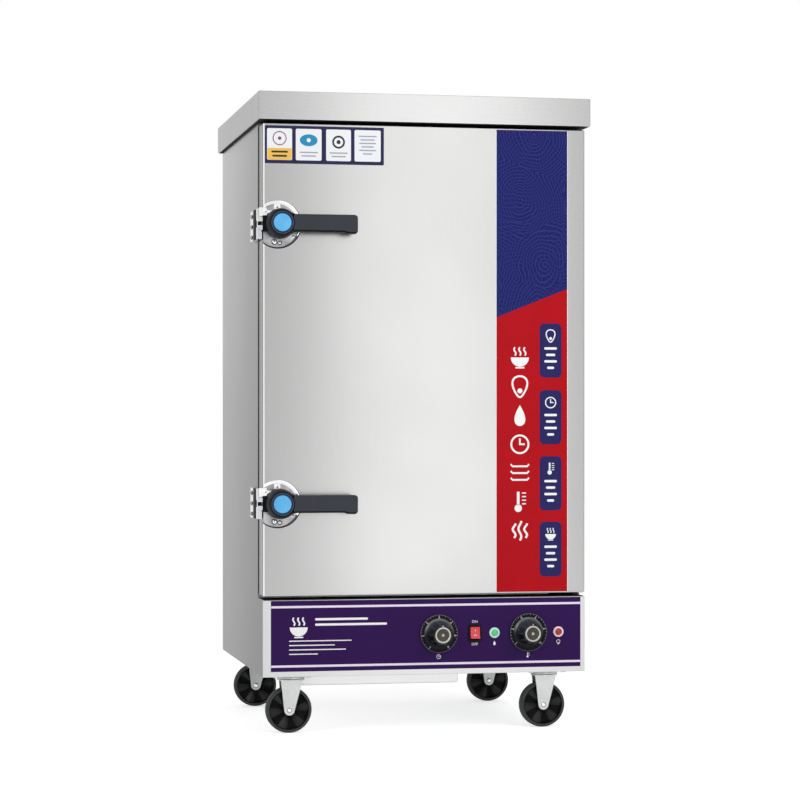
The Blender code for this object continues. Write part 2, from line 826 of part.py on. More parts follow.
def immersion_heater():
    """Hairpin elements through one flange plate, with their terminal ends in front of it."""
    back = TANK_FRONT_Y - FIT
    half = heater_width() / 2 + HEATER_PLATE_MARGIN
    heater = box(
        "immersion_heater",
        (-half, back - HEATER_PLATE_THICKNESS, heater_z() - HEATER_PLATE_HEIGHT / 2),
        (half, back, heater_z() + HEATER_PLATE_HEIGHT / 2),
        HEATER_STEEL,
        HEATER_PLATE_THICKNESS / 4,
        1,
    )
    for number in range(HEATER_HAIRPINS):
        x = (number - (HEATER_HAIRPINS - 1) / 2) * HEATER_PITCH
        bend = HEATER_HAIRPIN_WIDTH / 2
        front = back - HEATER_PLATE_THICKNESS - HEATER_TERMINAL
        end = TANK_BACK_Y - SHEET - HEATER_BACK_GAP - bend
        turn = [(a, b, heater_z()) for a, b in arc((x, end), bend, math.pi, 0, 4)]
        points = [(x - bend, front, heater_z()), *turn, (x + bend, front, heater_z())]
        join(heater, tube(f"hairpin_{number + 1}", points, HEATER_TUBE_RADIUS, HEATER_STEEL, 1))
    return heater


def chamber_insulation():
    """Foam between the liner and the outer sheets."""
    foam = box(
        "chamber_insulation",
        (-INNER_HALF_WIDTH, BODY_FRONT_Y + SHEET + FIT, WINDOW_BOTTOM - WALL),
        (INNER_HALF_WIDTH, INNER_BACK_Y - FIT, BODY_TOP - FIT),
        FOAM,
    )
    liner_space = box(
        "liner_space",
        (-WINDOW_HALF - SHEET - FIT, BODY_FRONT_Y - OVERRUN, WINDOW_BOTTOM - SHEET - FIT),
        (WINDOW_HALF + SHEET + FIT, LINER_BACK_Y + FIT, WINDOW_TOP + SHEET + FIT),
    )
    reach = TANK_RIM + FIT
    tank_space = box(
        "tank_space",
        (-TANK_HALF - reach, TANK_FRONT_Y - reach, WINDOW_BOTTOM - WALL - OVERRUN),
        (TANK_HALF + reach, TANK_BACK_Y + reach, WINDOW_BOTTOM + OVERRUN),
    )
    vent = rod(
        "foam_vent_hole",
        VENT_RADIUS + FIT,
        WALL + 2 * OVERRUN,
        (0, LINER_BACK_Y - OVERRUN, vent_z()),
        TO_BACK,
        sides=SMALL_STEPS,
    )
    pipe_room = FITTING_NUT_RADIUS + FIT
    feed_space = box(
        "feed_space",
        (-HALF_WIDTH - OVERRUN, valve_y() - pipe_room, WINDOW_BOTTOM - WALL - OVERRUN),
        (-TANK_HALF, valve_y() + pipe_room, valve_z() + pipe_room),
    )
    return cut(foam, liner_space, tank_space, feed_space, vent)


def rack_levels():
    """Heights of the runners' top faces."""
    first = WINDOW_BOTTOM + RACK_BOTTOM_SPACE
    last = WINDOW_TOP - RACK_TOP_SPACE
    return [first + (last - first) * n / (RACK_LEVELS - 1) for n in range(RACK_LEVELS)]


def chamber_middle_y():
    return (LINER_FRONT_Y + LINER_BACK_Y - SHEET) / 2


def tray_rack(name, side):
    """Two uprights on the chamber's wall with angle runners, one for each tray."""
    wall = WINDOW_HALF - FIT
    middle = chamber_middle_y()
    inner = wall - UPRIGHT_THICKNESS
    tip = inner - RUNNER_SHELF
    leg = inner + RUNNER_BITE
    runner_outline = [
        (side * leg, 0),
        (side * tip, 0),
        (side * tip, -RUNNER_THICKNESS),
        (side * (leg - RUNNER_THICKNESS), -RUNNER_THICKNESS),
        (side * (leg - RUNNER_THICKNESS), -RUNNER_LEG),
        (side * leg, -RUNNER_LEG),
    ]
    levels = rack_levels()
    rack = None
    for end in (-1, 1):
        y = middle + end * (RUNNER_LENGTH / 2 - UPRIGHT_FROM_END)
        upright = box(
            name if rack is None else name + "_upright_back",
            (min(side * inner, side * wall), y - UPRIGHT_WIDTH / 2, levels[0] - RUNNER_LEG * 2),
            (max(side * inner, side * wall), y + UPRIGHT_WIDTH / 2, levels[-1] + RUNNER_LEG),
            LINER_STEEL,
        )
        rack = rack or upright
    for number, level in enumerate(levels):
        runner = plate(
            f"{name}_runner_{number + 1}",
            [runner_outline],
            RUNNER_LENGTH,
            (0, middle, level),
            TO_FRONT,
            LINER_STEEL,
        )
        join(rack, runner)
    join(rack, bpy.data.objects[name + "_upright_back"])
    return rack


def valve_y():
    return TANK_BACK_Y - VALVE_FROM_TANK_BACK


def valve_z():
    return TANK_TOP - VALVE_DROP


def float_pivot():
    x = -TANK_HALF + SHEET + FIT + VALVE_FLANGE_THICKNESS + VALVE_SNOUT
    return Vector((x + VALVE_EAR_LENGTH - FLOAT_EYE_RADIUS - RUNNING_GAP, valve_y(), valve_z()))


def float_valve_body():
    """A brass valve through the tank's side wall, with two ears for the float's arm."""
    wall = SHEET + 2 * FIT
    inner_face = VALVE_TAIL + VALVE_FLANGE_THICKNESS + wall
    tip = inner_face + VALVE_FLANGE_THICKNESS + VALVE_SNOUT
    profile = [
        (0, tip),
        (VALVE_RADIUS, tip),
        (VALVE_RADIUS, inner_face + VALVE_FLANGE_THICKNESS),
        (VALVE_FLANGE_RADIUS, inner_face + VALVE_FLANGE_THICKNESS),
        (VALVE_FLANGE_RADIUS, inner_face),
        (VALVE_RADIUS, inner_face),
        (VALVE_RADIUS, inner_face - wall),
        (VALVE_FLANGE_RADIUS, inner_face - wall),
        (VALVE_FLANGE_RADIUS, VALVE_TAIL),
        (VALVE_RADIUS, VALVE_TAIL),
        (VALVE_RADIUS, 0),
        (0, 0),
    ]
    start_x = -TANK_HALF - FIT - VALVE_FLANGE_THICKNESS - VALVE_TAIL
    start = (start_x, valve_y(), valve_z())
    body = turned("float_valve_body", profile, start, TO_RIGHT, BRASS, SMALL_STEPS)
    pivot = float_pivot()
    ear_back = pivot.x + FLOAT_EYE_RADIUS + RUNNING_GAP - VALVE_EAR_LENGTH - VALVE_SNOUT / 2
    half = FLOAT_EYE_RADIUS + SHEET
    ears = box(
        "valve_ears",
        (ear_back, pivot.y - VALVE_EAR_WIDTH / 2, pivot.z - half),
        (pivot.x + half, pivot.y + VALVE_EAR_WIDTH / 2, pivot.z + half),
        BRASS,
    )
    gap = FLOAT_EYE_WIDTH / 2 + RUNNING_GAP
    slot = box(
        "valve_slot",
        (pivot.x - FLOAT_EYE_RADIUS - RUNNING_GAP, pivot.y - gap, pivot.z - OVERRUN),
        (pivot.x + OVERRUN, pivot.y + gap, pivot.z + OVERRUN),
    )
    hole = rod(
        "valve_pin_hole",
        FLOAT_PIN_RADIUS + RUNNING_GAP,
        2 * OVERRUN,
        pivot - Vector((0, OVERRUN, 0)),
        TO_BACK,
        sides=SMALL_STEPS,
    )
    return cut(join(body, ears), slot, hole)


def float_arm():
    """The float ball on its rod, drooping on a dry tank, turning on its own cross pin."""
    pivot = float_pivot()
    arm = rod(
        "float_arm",
        FLOAT_EYE_RADIUS,
        FLOAT_EYE_WIDTH,
        pivot - Vector((0, FLOAT_EYE_WIDTH / 2, 0)),
        TO_BACK,
        BRASS,
        SMALL_STEPS,
    )
    pin = rod(
        "float_pin",
        FLOAT_PIN_RADIUS,
        VALVE_EAR_WIDTH,
        pivot - Vector((0, VALVE_EAR_WIDTH / 2, 0)),
        TO_BACK,
        BRASS,
        SMALL_STEPS,
    )
    direction = Vector((math.cos(FLOAT_DROOP), 0, -math.sin(FLOAT_DROOP)))
    end = pivot + direction * FLOAT_ARM_LENGTH
    wire = tube("float_wire", [pivot, end], FLOAT_ARM_RADIUS, BRASS)
    shape = bmesh.new()
    bmesh.ops.create_uvsphere(shape, u_segments=12, v_segments=8, radius=FLOAT_BALL_RADIUS)
    ball = show("float_ball", smooth(finished_mesh(shape, "float_ball")), BRASS, end)
    return join(arm, pin, wire, ball)


def water_inlet_fitting():
    """The threaded inlet on the back with its nut, and the pipe that feeds the float valve."""
    z = BASE_BOTTOM + INLET_RISE
    through = 2 * SHEET + 3 * FIT
    tail = FITTING_NUT_THICKNESS * 2
    outer = through + FITTING_NUT_THICKNESS
    profile = [
        (0, outer + INLET_REACH - FITTING_NUT_THICKNESS),
        (INLET_RADIUS, outer + INLET_REACH - FITTING_NUT_THICKNESS),
        (INLET_RADIUS, outer),
        (FITTING_NUT_RADIUS, outer),
        (FITTING_NUT_RADIUS, through),
        (FITTING_SHANK_RADIUS, through),
        (FITTING_SHANK_RADIUS, 0),
        (FITTING_NUT_RADIUS, 0),
        (FITTING_NUT_RADIUS, -FITTING_NUT_THICKNESS),
        (FITTING_SHANK_RADIUS, -FITTING_NUT_THICKNESS),
        (FITTING_SHANK_RADIUS, -tail),
        (0, -tail),
    ]
    start = Vector((fitting_x(), BACK_Y + FIT - through, z))
    fitting = turned("water_inlet_fitting", profile, start, TO_BACK, BRASS, SMALL_STEPS)
    bore = rod(
        "inlet_bore", INLET_BORE, INLET_REACH + OVERRUN, (start.x, BACK_Y, z), TO_BACK,
        sides=SMALL_STEPS,
    )
    cut(fitting, bore)
    valve_end = -TANK_HALF - FIT - VALVE_FLANGE_THICKNESS - VALVE_TAIL - FIT
    route = [
        (start.x, start.y - tail / 2, z),
        (start.x, valve_y(), z),
        (start.x, valve_y(), valve_z()),
        (valve_end, valve_y(), valve_z()),
    ]
    pipe = tube("feed_pipe", bent_path(route, FEED_PIPE_BEND, 3), FEED_PIPE_RADIUS, BRASS)
    return join(fitting, pipe)


def cable_gland():
    """A gland with a domed nut outside and a lock nut inside, its bore open for a cable."""
    z = BASE_BOTTOM + GLAND_RISE
    through = 2 * SHEET + 3 * FIT
    end = through + GLAND_REACH
    dome = GLAND_RADIUS * 3 / 4
    bore = GLAND_BORE
    profile = [
        (bore, end),
        (dome, end),
        (GLAND_RADIUS, end - GLAND_REACH / 4),
        (GLAND_RADIUS, through + GLAND_REACH / 2),
        (dome, through + GLAND_REACH / 2),
        (dome, through + FITTING_NUT_THICKNESS),
        (GLAND_RADIUS, through + FITTING_NUT_THICKNESS),
        (GLAND_RADIUS, through),
        (FITTING_SHANK_RADIUS, through),
        (FITTING_SHANK_RADIUS, 0),
        (FITTING_NUT_RADIUS, 0),
        (FITTING_NUT_RADIUS, -FITTING_NUT_THICKNESS),
        (bore, -FITTING_NUT_THICKNESS),
    ]
    start = (fitting_x(), BACK_Y + FIT - through, z)
    return turned("cable_gland", profile, start, TO_BACK, BLACK, SMALL_STEPS, ring=True)


def vent_pipe():
    """The steam vent through the back wall, with a collar on each sheet."""
    start_y = LINER_BACK_Y + FIT
    outer = BACK_Y + FIT - start_y
    end = outer + VENT_REACH
    profile = [
        (VENT_BORE, end),
        (VENT_RADIUS, end),
        (VENT_RADIUS, outer + SHEET),
        (VENT_COLLAR, outer + SHEET),
        (VENT_COLLAR, outer),
        (VENT_RADIUS, outer),
        (VENT_RADIUS, -OVERRUN / 4),
        (VENT_BORE, -OVERRUN / 4),
    ]
    return turned(
        "vent_pipe", profile, (0, start_y, vent_z()), TO_BACK, STEEL, SMALL_STEPS, ring=True
    )


def drain_valve_body():
    """The drain pipe from the tank's back wall to a ball valve outside the back panel."""
    start_y = TANK_BACK_Y - SHEET - FIT
    panel = BACK_Y + FIT - start_y
    nut = FITTING_NUT_THICKNESS
    end = panel + DRAIN_REACH - FIT
    middle = panel + DRAIN_REACH / 2
    profile = [
        (0, end),
        (DRAIN_PIPE_RADIUS + nut / 2, end),
        (DRAIN_PIPE_RADIUS + nut / 2, end - 2 * nut),
        (DRAIN_PIPE_RADIUS + nut / 4, end - 2 * nut),
        (DRAIN_BODY_RADIUS, middle + nut),
        (DRAIN_BODY_RADIUS, middle - nut),
        (DRAIN_PIPE_RADIUS + nut / 4, panel + nut),
        (DRAIN_BODY_RADIUS, panel + nut),
        (DRAIN_BODY_RADIUS, panel),
        (DRAIN_PIPE_RADIUS, panel),
        (DRAIN_PIPE_RADIUS, 0),
        (0, 0),
    ]
    start = (DRAIN_X, start_y, drain_z())
    body = turned("drain_valve_body", profile, start, TO_BACK, BRASS, SMALL_STEPS)
    stem_top = DRAIN_BODY_RADIUS + DRAIN_STEM_HEIGHT
    x, y, z = drain_stem()
    stem = rod("drain_stem", DRAIN_STEM_RADIUS, stem_top, (x, y, z), UPRIGHT, BRASS, SMALL_STEPS)
    stud_length = stem_top + 2 * DRAIN_HANDLE_THICKNESS
    stud = rod(
        "drain_stud", SHAFT_RADIUS, stud_length, (x, y, z), UPRIGHT, BRASS, SMALL_STEPS
    )
    bore_start = (x, BACK_Y + DRAIN_REACH - DRAIN_BORE_DEPTH, z)
    bore = rod(
        "drain_bore", DRAIN_BORE, DRAIN_BORE_DEPTH + OVERRUN, bore_start, TO_BACK,
        sides=SMALL_STEPS,
    )
    return cut(join(body, stem, stud), bore)


def drain_stem():
    return Vector((DRAIN_X, BACK_Y + DRAIN_REACH / 2, drain_z()))


def drain_valve_handle():
    """A stepped flat lever on the valve's stem, closed across the pipe."""
    stem = drain_stem()
    base = stem.z + DRAIN_BODY_RADIUS + DRAIN_STEM_HEIGHT + FIT
    half = DRAIN_HANDLE_WIDTH / 2
    thickness = DRAIN_HANDLE_THICKNESS
    bend = DRAIN_HANDLE_LENGTH / 4
    tip = DRAIN_HANDLE_LENGTH
    side = [
        (half, 0),
        (-bend, 0),
        (-bend - DRAIN_HANDLE_STEP, DRAIN_HANDLE_STEP),
        (-tip, DRAIN_HANDLE_STEP),
        (-tip, DRAIN_HANDLE_STEP + thickness),
        (-bend - DRAIN_HANDLE_STEP - thickness / 2, DRAIN_HANDLE_STEP + thickness),
        (-bend - thickness / 2, thickness),
        (half, thickness),
    ]
    handle = plate(
        "drain_valve_handle", [side], DRAIN_HANDLE_WIDTH, (stem.x, stem.y, base), TO_FRONT, BLUE
    )
    hole = rod(
        "handle_hole",
        SHAFT_RADIUS + SHAFT_CLEARANCE,
        2 * OVERRUN,
        (stem.x, stem.y, base - OVERRUN),
        UPRIGHT,
        sides=SMALL_STEPS,
    )
    return cut(handle, hole)


def base_pan():
    return open_tray(
        "base_pan",
        (-INNER_HALF_WIDTH, FRONT_Y + SHEET + FIT, PAN_BOTTOM),
        (INNER_HALF_WIDTH, INNER_BACK_Y - FIT, PAN_BOTTOM + PAN_EDGE),
        PAN_THICKNESS,
        FOLD_RADIUS + PAN_THICKNESS,
        "+Z",
        ZINC,
    )


def bottom_pan():
    """The shallow pan that hangs under the base, set back from the front."""
    left = -HALF_WIDTH + BOTTOM_PAN_FROM_LEFT
    right = left + BOTTOM_PAN_WIDTH
    return open_tray(
        "bottom_pan",
        (left, FRONT_Y + BOTTOM_PAN_SETBACK, CASTER_TOP - BOTTOM_PAN_HANG),
        (right, BACK_Y - BOTTOM_PAN_SETBACK, CASTER_TOP),
        SHEET,
        FOLD_RADIUS * 2,
        "+Z",
    )


def control_x(from_edge):
    return HALF_WIDTH - from_edge


def control_panel():
    """The front sheet of the base, with its top ledge and bottom edge folded back."""
    panel = box(
        "control_panel",
        (-HALF_WIDTH, FRONT_Y, BASE_BOTTOM),
        (HALF_WIDTH, BODY_FRONT_Y - FIT, BASE_TOP),
        rounding=FOLD_RADIUS / 2,
        segments=1,
    )
    wide = HALF_WIDTH + OVERRUN
    hollow = box(
        "panel_hollow",
        (-wide, FRONT_Y + SHEET, BASE_BOTTOM + SHEET),
        (wide, BODY_FRONT_Y + OVERRUN, BASE_TOP - SHEET),
    )
    below = box(
        "panel_below",
        (-wide, FRONT_Y + FLANGE, BASE_BOTTOM - OVERRUN),
        (wide, BODY_FRONT_Y + OVERRUN, BASE_BOTTOM + 2 * SHEET),
    )
    cut(panel, hollow, below)
    for side in (-1, 1):
        inner = side * (HALF_WIDTH - FLANGE - FIT)
        corner = box(
            f"panel_corner_{side + 1}",
            (min(inner, side * wide), FRONT_Y + SHEET, BASE_BOTTOM - OVERRUN),
            (max(inner, side * wide), BODY_FRONT_Y, BASE_BOTTOM + 2 * SHEET),
        )
        cut(panel, corner)
    holes = [
        (TIMER_FROM_EDGE, BUSH_RADIUS),
        (THERMOSTAT_FROM_EDGE, BUSH_RADIUS),
        (GREEN_LAMP_FROM_EDGE, LAMP_BODY_RADIUS),
        (RED_LAMP_FROM_EDGE, LAMP_BODY_RADIUS),
    ]
    for number, (from_edge, radius) in enumerate(holes):
        start = (control_x(from_edge), FRONT_Y + OVERRUN, CONTROL_Z)
        name = f"panel_hole_{number + 1}"
        length = 2 * OVERRUN
        cut(panel, rod(name, radius + FIT, length, start, TO_FRONT, sides=SMALL_STEPS))
    half_width = ROCKER_BODY_WIDTH / 2 + FIT
    half_height = ROCKER_BODY_HEIGHT / 2 + FIT
    x = control_x(ROCKER_FROM_EDGE)
    rocker_hole = box(
        "rocker_hole",
        (x - half_width, FRONT_Y - OVERRUN, CONTROL_Z - half_height),
        (x + half_width, FRONT_Y + OVERRUN, CONTROL_Z + half_height),
    )
    return cut(panel, rocker_hole)


def dial_unit(name, from_edge):
    """A switch unit behind the panel, with a threaded bush through it that bears the shaft."""
    x = control_x(from_edge)
    half = UNIT_SIDE / 2
    front = FRONT_Y + SHEET + FIT
    unit = box(
        name,
        (x - half, front, CONTROL_Z - half),
        (x + half, front + UNIT_DEPTH, CONTROL_Z + half),
        CREAM,
        UNIT_ROUNDING,
        1,
    )
    bush_length = SHEET + FIT + BUSH_PROUD + UNIT_DEPTH / 2
    bush = rod(
        name + "_bush", BUSH_RADIUS, bush_length, (x, front + UNIT_DEPTH / 2, CONTROL_Z), TO_FRONT,
        sides=SMALL_STEPS,
    )
    bore_start = (x, FRONT_Y + SHAFT_LENGTH + RUNNING_GAP, CONTROL_Z)
    bore = rod(
        name + "_bore", SHAFT_RADIUS + SHAFT_CLEARANCE, SHAFT_LENGTH + OVERRUN, bore_start,
        TO_FRONT, sides=SMALL_STEPS,
    )
    return cut(join(unit, bush), bore)


def dial_knob(name, from_edge, holder):
    """A knob on its shaft: a flat skirt, a fluted tapering grip and a seat for its cap."""
    x = control_x(from_edge)
    back = FRONT_Y - KNOB_STAND
    skirt = KNOB_SKIRT_THICKNESS
    profile = [
        (0, KNOB_HEIGHT - KNOB_CAP_SEAT),
        (KNOB_CAP_RADIUS + FIT, KNOB_HEIGHT - KNOB_CAP_SEAT),
        (KNOB_CAP_RADIUS + FIT, KNOB_HEIGHT),
        (KNOB_TOP_RADIUS - KNOB_SKIRT_CHAMFER, KNOB_HEIGHT),
        (KNOB_TOP_RADIUS, KNOB_HEIGHT - KNOB_SKIRT_CHAMFER),
        (KNOB_GRIP_RADIUS, 2 * skirt),
        (KNOB_GRIP_RADIUS + skirt, skirt),
        (KNOB_SKIRT_RADIUS - KNOB_SKIRT_CHAMFER, skirt),
        (KNOB_SKIRT_RADIUS, skirt - KNOB_SKIRT_CHAMFER),
        (KNOB_SKIRT_RADIUS, 0),
        (KNOB_RECESS_RADIUS, 0),
        (KNOB_RECESS_RADIUS, KNOB_RECESS_DEPTH),
        (0, KNOB_RECESS_DEPTH),
    ]
    knob = turned(name, profile, (x, back, CONTROL_Z), TO_FRONT, BLACK, FINE_STEPS)
    tilt = math.atan2(KNOB_GRIP_RADIUS - KNOB_TOP_RADIUS, KNOB_HEIGHT - 2 * skirt)
    for number in range(KNOB_FLUTES):
        around = 2 * math.pi * number / KNOB_FLUTES
        ring = KNOB_GRIP_RADIUS + KNOB_FLUTE_RADIUS / 2
        start = Vector((ring * math.sin(around), 0, ring * math.cos(around)))
        flute = rod(
            f"{name}_flute_{number + 1}",
            KNOB_FLUTE_RADIUS,
            KNOB_HEIGHT,
            Vector((x, back - 2 * skirt, CONTROL_Z)) + start,
            UPRIGHT,
            sides=SMALL_STEPS // 2,
        )
        lean = Vector((-math.sin(tilt) * math.sin(around), -math.cos(tilt), 0))
        lean.z = -math.sin(tilt) * math.cos(around)
        flute.rotation_euler = lean.to_track_quat("Z", "Y").to_euler()
        cut(knob, flute)
    shaft = rod(
        name + "_shaft",
        SHAFT_RADIUS,
        SHAFT_LENGTH + KNOB_STAND + 2 * KNOB_RECESS_DEPTH,
        (x, FRONT_Y + SHAFT_LENGTH, CONTROL_Z),
        TO_FRONT,
        sides=SMALL_STEPS,
    )
    join(knob, shaft)
    carry(holder, knob)
    return knob


def knob_cap(name, from_edge, holder):
    """The metal disc let into the knob's front, its middle sunk inside a raised ring."""
    thickness = KNOB_CAP_THICKNESS
    inner = KNOB_CAP_RADIUS * 3 / 4
    sunk = thickness / 3
    profile = [
        (0, thickness - sunk),
        (inner, thickness - sunk),
        (inner + sunk, thickness),
        (KNOB_CAP_RADIUS - sunk, thickness),
        (KNOB_CAP_RADIUS, thickness - sunk),
        (KNOB_CAP_RADIUS, 0),
        (0, 0),
    ]
    back = FRONT_Y - KNOB_STAND - KNOB_HEIGHT + KNOB_CAP_SEAT - FIT
    start = (control_x(from_edge), back, CONTROL_Z)
    cap = turned(name, profile, start, TO_FRONT, CHROME, FINE_STEPS)
    carry(holder, cap)
    return cap


def rocker_pivot():
    return Vector((control_x(ROCKER_FROM_EDGE), FRONT_Y - ROCKER_BEZEL_THICKNESS, CONTROL_Z))


def rocker_housing():
    x, _, z = rocker_pivot()
    front = FRONT_Y - FIT - ROCKER_BEZEL_THICKNESS
    housing = box(
        "rocker_housing",
        (x - ROCKER_BEZEL_WIDTH / 2, front, z - ROCKER_BEZEL_HEIGHT / 2),
        (x + ROCKER_BEZEL_WIDTH / 2, FRONT_Y - FIT, z + ROCKER_BEZEL_HEIGHT / 2),
        BLACK,
        ROCKER_BEZEL_THICKNESS / 3,
        1,
    )
    body = box(
        "rocker_body",
        (x - ROCKER_BODY_WIDTH / 2, front + ROCKER_BEZEL_THICKNESS / 2, z - ROCKER_BODY_HEIGHT / 2),
        (x + ROCKER_BODY_WIDTH / 2, FRONT_Y + ROCKER_BODY_DEPTH, z + ROCKER_BODY_HEIGHT / 2),
    )
    half_width = ROCKER_WIDTH / 2 + ROCKER_CLEARANCE
    half_height = ROCKER_HEIGHT / 2 + ROCKER_TOE_ROOM
    pocket = box(
        "rocker_pocket",
        (x - half_width, front - OVERRUN, z - half_height),
        (x + half_width, front + ROCKER_POCKET_DEPTH, z + half_height),
    )
    return cut(join(housing, body), pocket)


def rocker():
    """The rocking button: two slopes meeting over its cross axis, tipped to one side."""
    half = ROCKER_HEIGHT / 2
    outline = [
        (-ROCKER_BACK, half),
        (-ROCKER_BACK, -half),
        (ROCKER_EDGE_PROUD, -half),
        (ROCKER_MIDDLE_PROUD, 0),
        (ROCKER_EDGE_PROUD, half),
    ]
    cosine, sine = math.cos(ROCKER_TILT), math.sin(ROCKER_TILT)
    tipped = [(out * cosine - up * sine, out * sine + up * cosine) for out, up in outline]
    button = plate(
        "rocker_switch",
        [[(-out, up) for out, up in tipped]],
        ROCKER_WIDTH,
        rocker_pivot(),
        TO_SIDE,
        RED,
    )
    return button


def pilot_lamp(name, from_edge, finish):
    """A lamp with its bezel and domed lens in front of the panel and its body behind."""
    front = LAMP_BEZEL_PROUD
    lens = LAMP_LENS_RADIUS
    dome = [
        (lens * math.sin(a), front + (LAMP_LENS_PROUD - front) * math.cos(a))
        for a in (math.pi / 2 * n / 4 for n in range(4))
    ]
    profile = [
        *dome,
        (lens, front),
        (LAMP_BEZEL_RADIUS - front / 3, front),
        (LAMP_BEZEL_RADIUS, front * 2 / 3),
        (LAMP_BEZEL_RADIUS, FIT),
        (LAMP_BODY_RADIUS, FIT),
        (LAMP_BODY_RADIUS, -LAMP_BODY_DEPTH),
        (0, -LAMP_BODY_DEPTH),
    ]
    start = (control_x(from_edge), FRONT_Y, CONTROL_Z)
    return turned(name, profile, start, TO_FRONT, finish, SMALL_STEPS)


def contactor():
    """The power contactor on the base pan, with its stepped terminal ends."""
    x = control_x(CONTACTOR_FROM_EDGE)
    half = CONTACTOR_WIDTH / 2
    low = PAN_BOTTOM + PAN_THICKNESS + FIT
    front = FRONT_Y + SHEET + FIT + PAN_THICKNESS + CONTACTOR_STEP
    middle = low + CONTACTOR_HEIGHT / 2
    body = box(
        "contactor",
        (x - half, front + CONTACTOR_STEP, low),
        (x + half, front + CONTACTOR_DEPTH, low + CONTACTOR_HEIGHT),
        CREAM,
    )
    nose = box(
        "contactor_nose",
        (x - half, front, middle - CONTACTOR_HEIGHT / 3 + CONTACTOR_STEP),
        (x + half, front + CONTACTOR_DEPTH / 2, middle + CONTACTOR_HEIGHT / 3 - CONTACTOR_STEP),
    )
    return join(body, nose)


def door_skin(holder):
    """The door's outer sheet, folded back on all four sides, pierced for the pivot pins."""
    skin = open_tray(
        "door_skin",
        (-HALF_WIDTH, FRONT_Y, DOOR_BOTTOM),
        (HALF_WIDTH, DOOR_BACK_Y, DOOR_TOP),
        SHEET,
        DOOR_FOLD_RADIUS,
        "+Y",
    )
    cut(skin, *pivot_holes("skin", PIN_RADIUS + PIN_CLEARANCE))
    carry(holder, skin)
    return skin


def pivot_holes(name, radius):
    """Cutters round the pivot pins at the door's two right corners."""
    length = 2 * PIN_LENGTH + 2 * FIT
    top = (PIVOT_X, PIVOT_Y, DOOR_TOP - PIN_LENGTH - FIT)
    bottom = (PIVOT_X, PIVOT_Y, DOOR_BOTTOM - PIN_LENGTH - FIT)
    return [
        rod(f"{name}_hole_top", radius, length, top, UPRIGHT, sides=SMALL_STEPS),
        rod(f"{name}_hole_bottom", radius, length, bottom, UPRIGHT, sides=SMALL_STEPS),
    ]


def door_inner_pan(holder):
    """The door's inner sheet: a shallow tray inside the skin, its middle dished."""
    inner = HALF_WIDTH - SHEET - FIT
    low, high = DOOR_BOTTOM + SHEET + FIT, DOOR_TOP - SHEET - FIT
    pan = open_tray(
        "door_inner_pan",
        (-inner, DOOR_BACK_Y - DOOR_RETURN, low),
        (inner, DOOR_BACK_Y, high),
        SHEET,
        FOLD_RADIUS,
        "-Y",
    )
    raised = box(
        "dish_block",
        (-inner + DISH_BORDER, DOOR_BACK_Y - DOOR_RETURN / 2, low + DISH_BORDER),
        (inner - DISH_BORDER, DOOR_BACK_Y + DISH_DEPTH, high - DISH_BORDER),
        rounding=DISH_DEPTH * 3 / 4,
    )
    sunk = box(
        "dish_hollow",
        (-inner + DISH_BORDER + SHEET, DOOR_FRONT_INSIDE, low + DISH_BORDER + SHEET),
        (inner - DISH_BORDER - SHEET, DOOR_BACK_Y + DISH_DEPTH - SHEET, high - DISH_BORDER - SHEET),
        rounding=DISH_DEPTH * 3 / 4 - SHEET,
        segments=1,
    )
    half_border = DISH_BORDER / 2
    inside = box(
        "dish_inside",
        (-inner + half_border, DOOR_BACK_Y - DOOR_RETURN - OVERRUN, low + half_border),
        (inner - half_border, DOOR_BACK_Y - SHEET, high - half_border),
    )
    cut(join(pan, raised), sunk, inside)
    carry(holder, pan)
    return pan


def door_core(holder):
    inset = 2 * SHEET + 2 * FIT + DOOR_FOLD_RADIUS
    core = box(
        "door_core",
        (-HALF_WIDTH + inset, DOOR_FRONT_INSIDE, DOOR_BOTTOM + inset),
        (HALF_WIDTH - inset, DOOR_BACK_Y - SHEET - FIT, DOOR_TOP - inset),
        FOAM,
    )
    cut(core, *pivot_holes("core", PIN_RADIUS + 2 * PIN_CLEARANCE))
    carry(holder, core)
    return core


def door_gasket(holder):
    """The soft ring round the door's back, which seals on the face frame."""
    width = BODY_WIDTH - 2 * GASKET_INSET
    height = DOOR_TOP - DOOR_BOTTOM - 2 * GASKET_INSET
    inner_radius = GASKET_CORNER - GASKET_WIDTH / 2
    outline = rounded_rectangle(width, height, GASKET_CORNER)
    opening = rounded_rectangle(width - 2 * GASKET_WIDTH, height - 2 * GASKET_WIDTH, inner_radius)
    gasket = plate(
        "door_gasket",
        [outline, opening],
        GASKET_GAP - 2 * FIT,
        (0, DOOR_BACK_Y + GASKET_GAP / 2, (DOOR_BOTTOM + DOOR_TOP) / 2),
        TO_FRONT,
        RUBBER,
    )
    carry(holder, gasket)
    return gasket


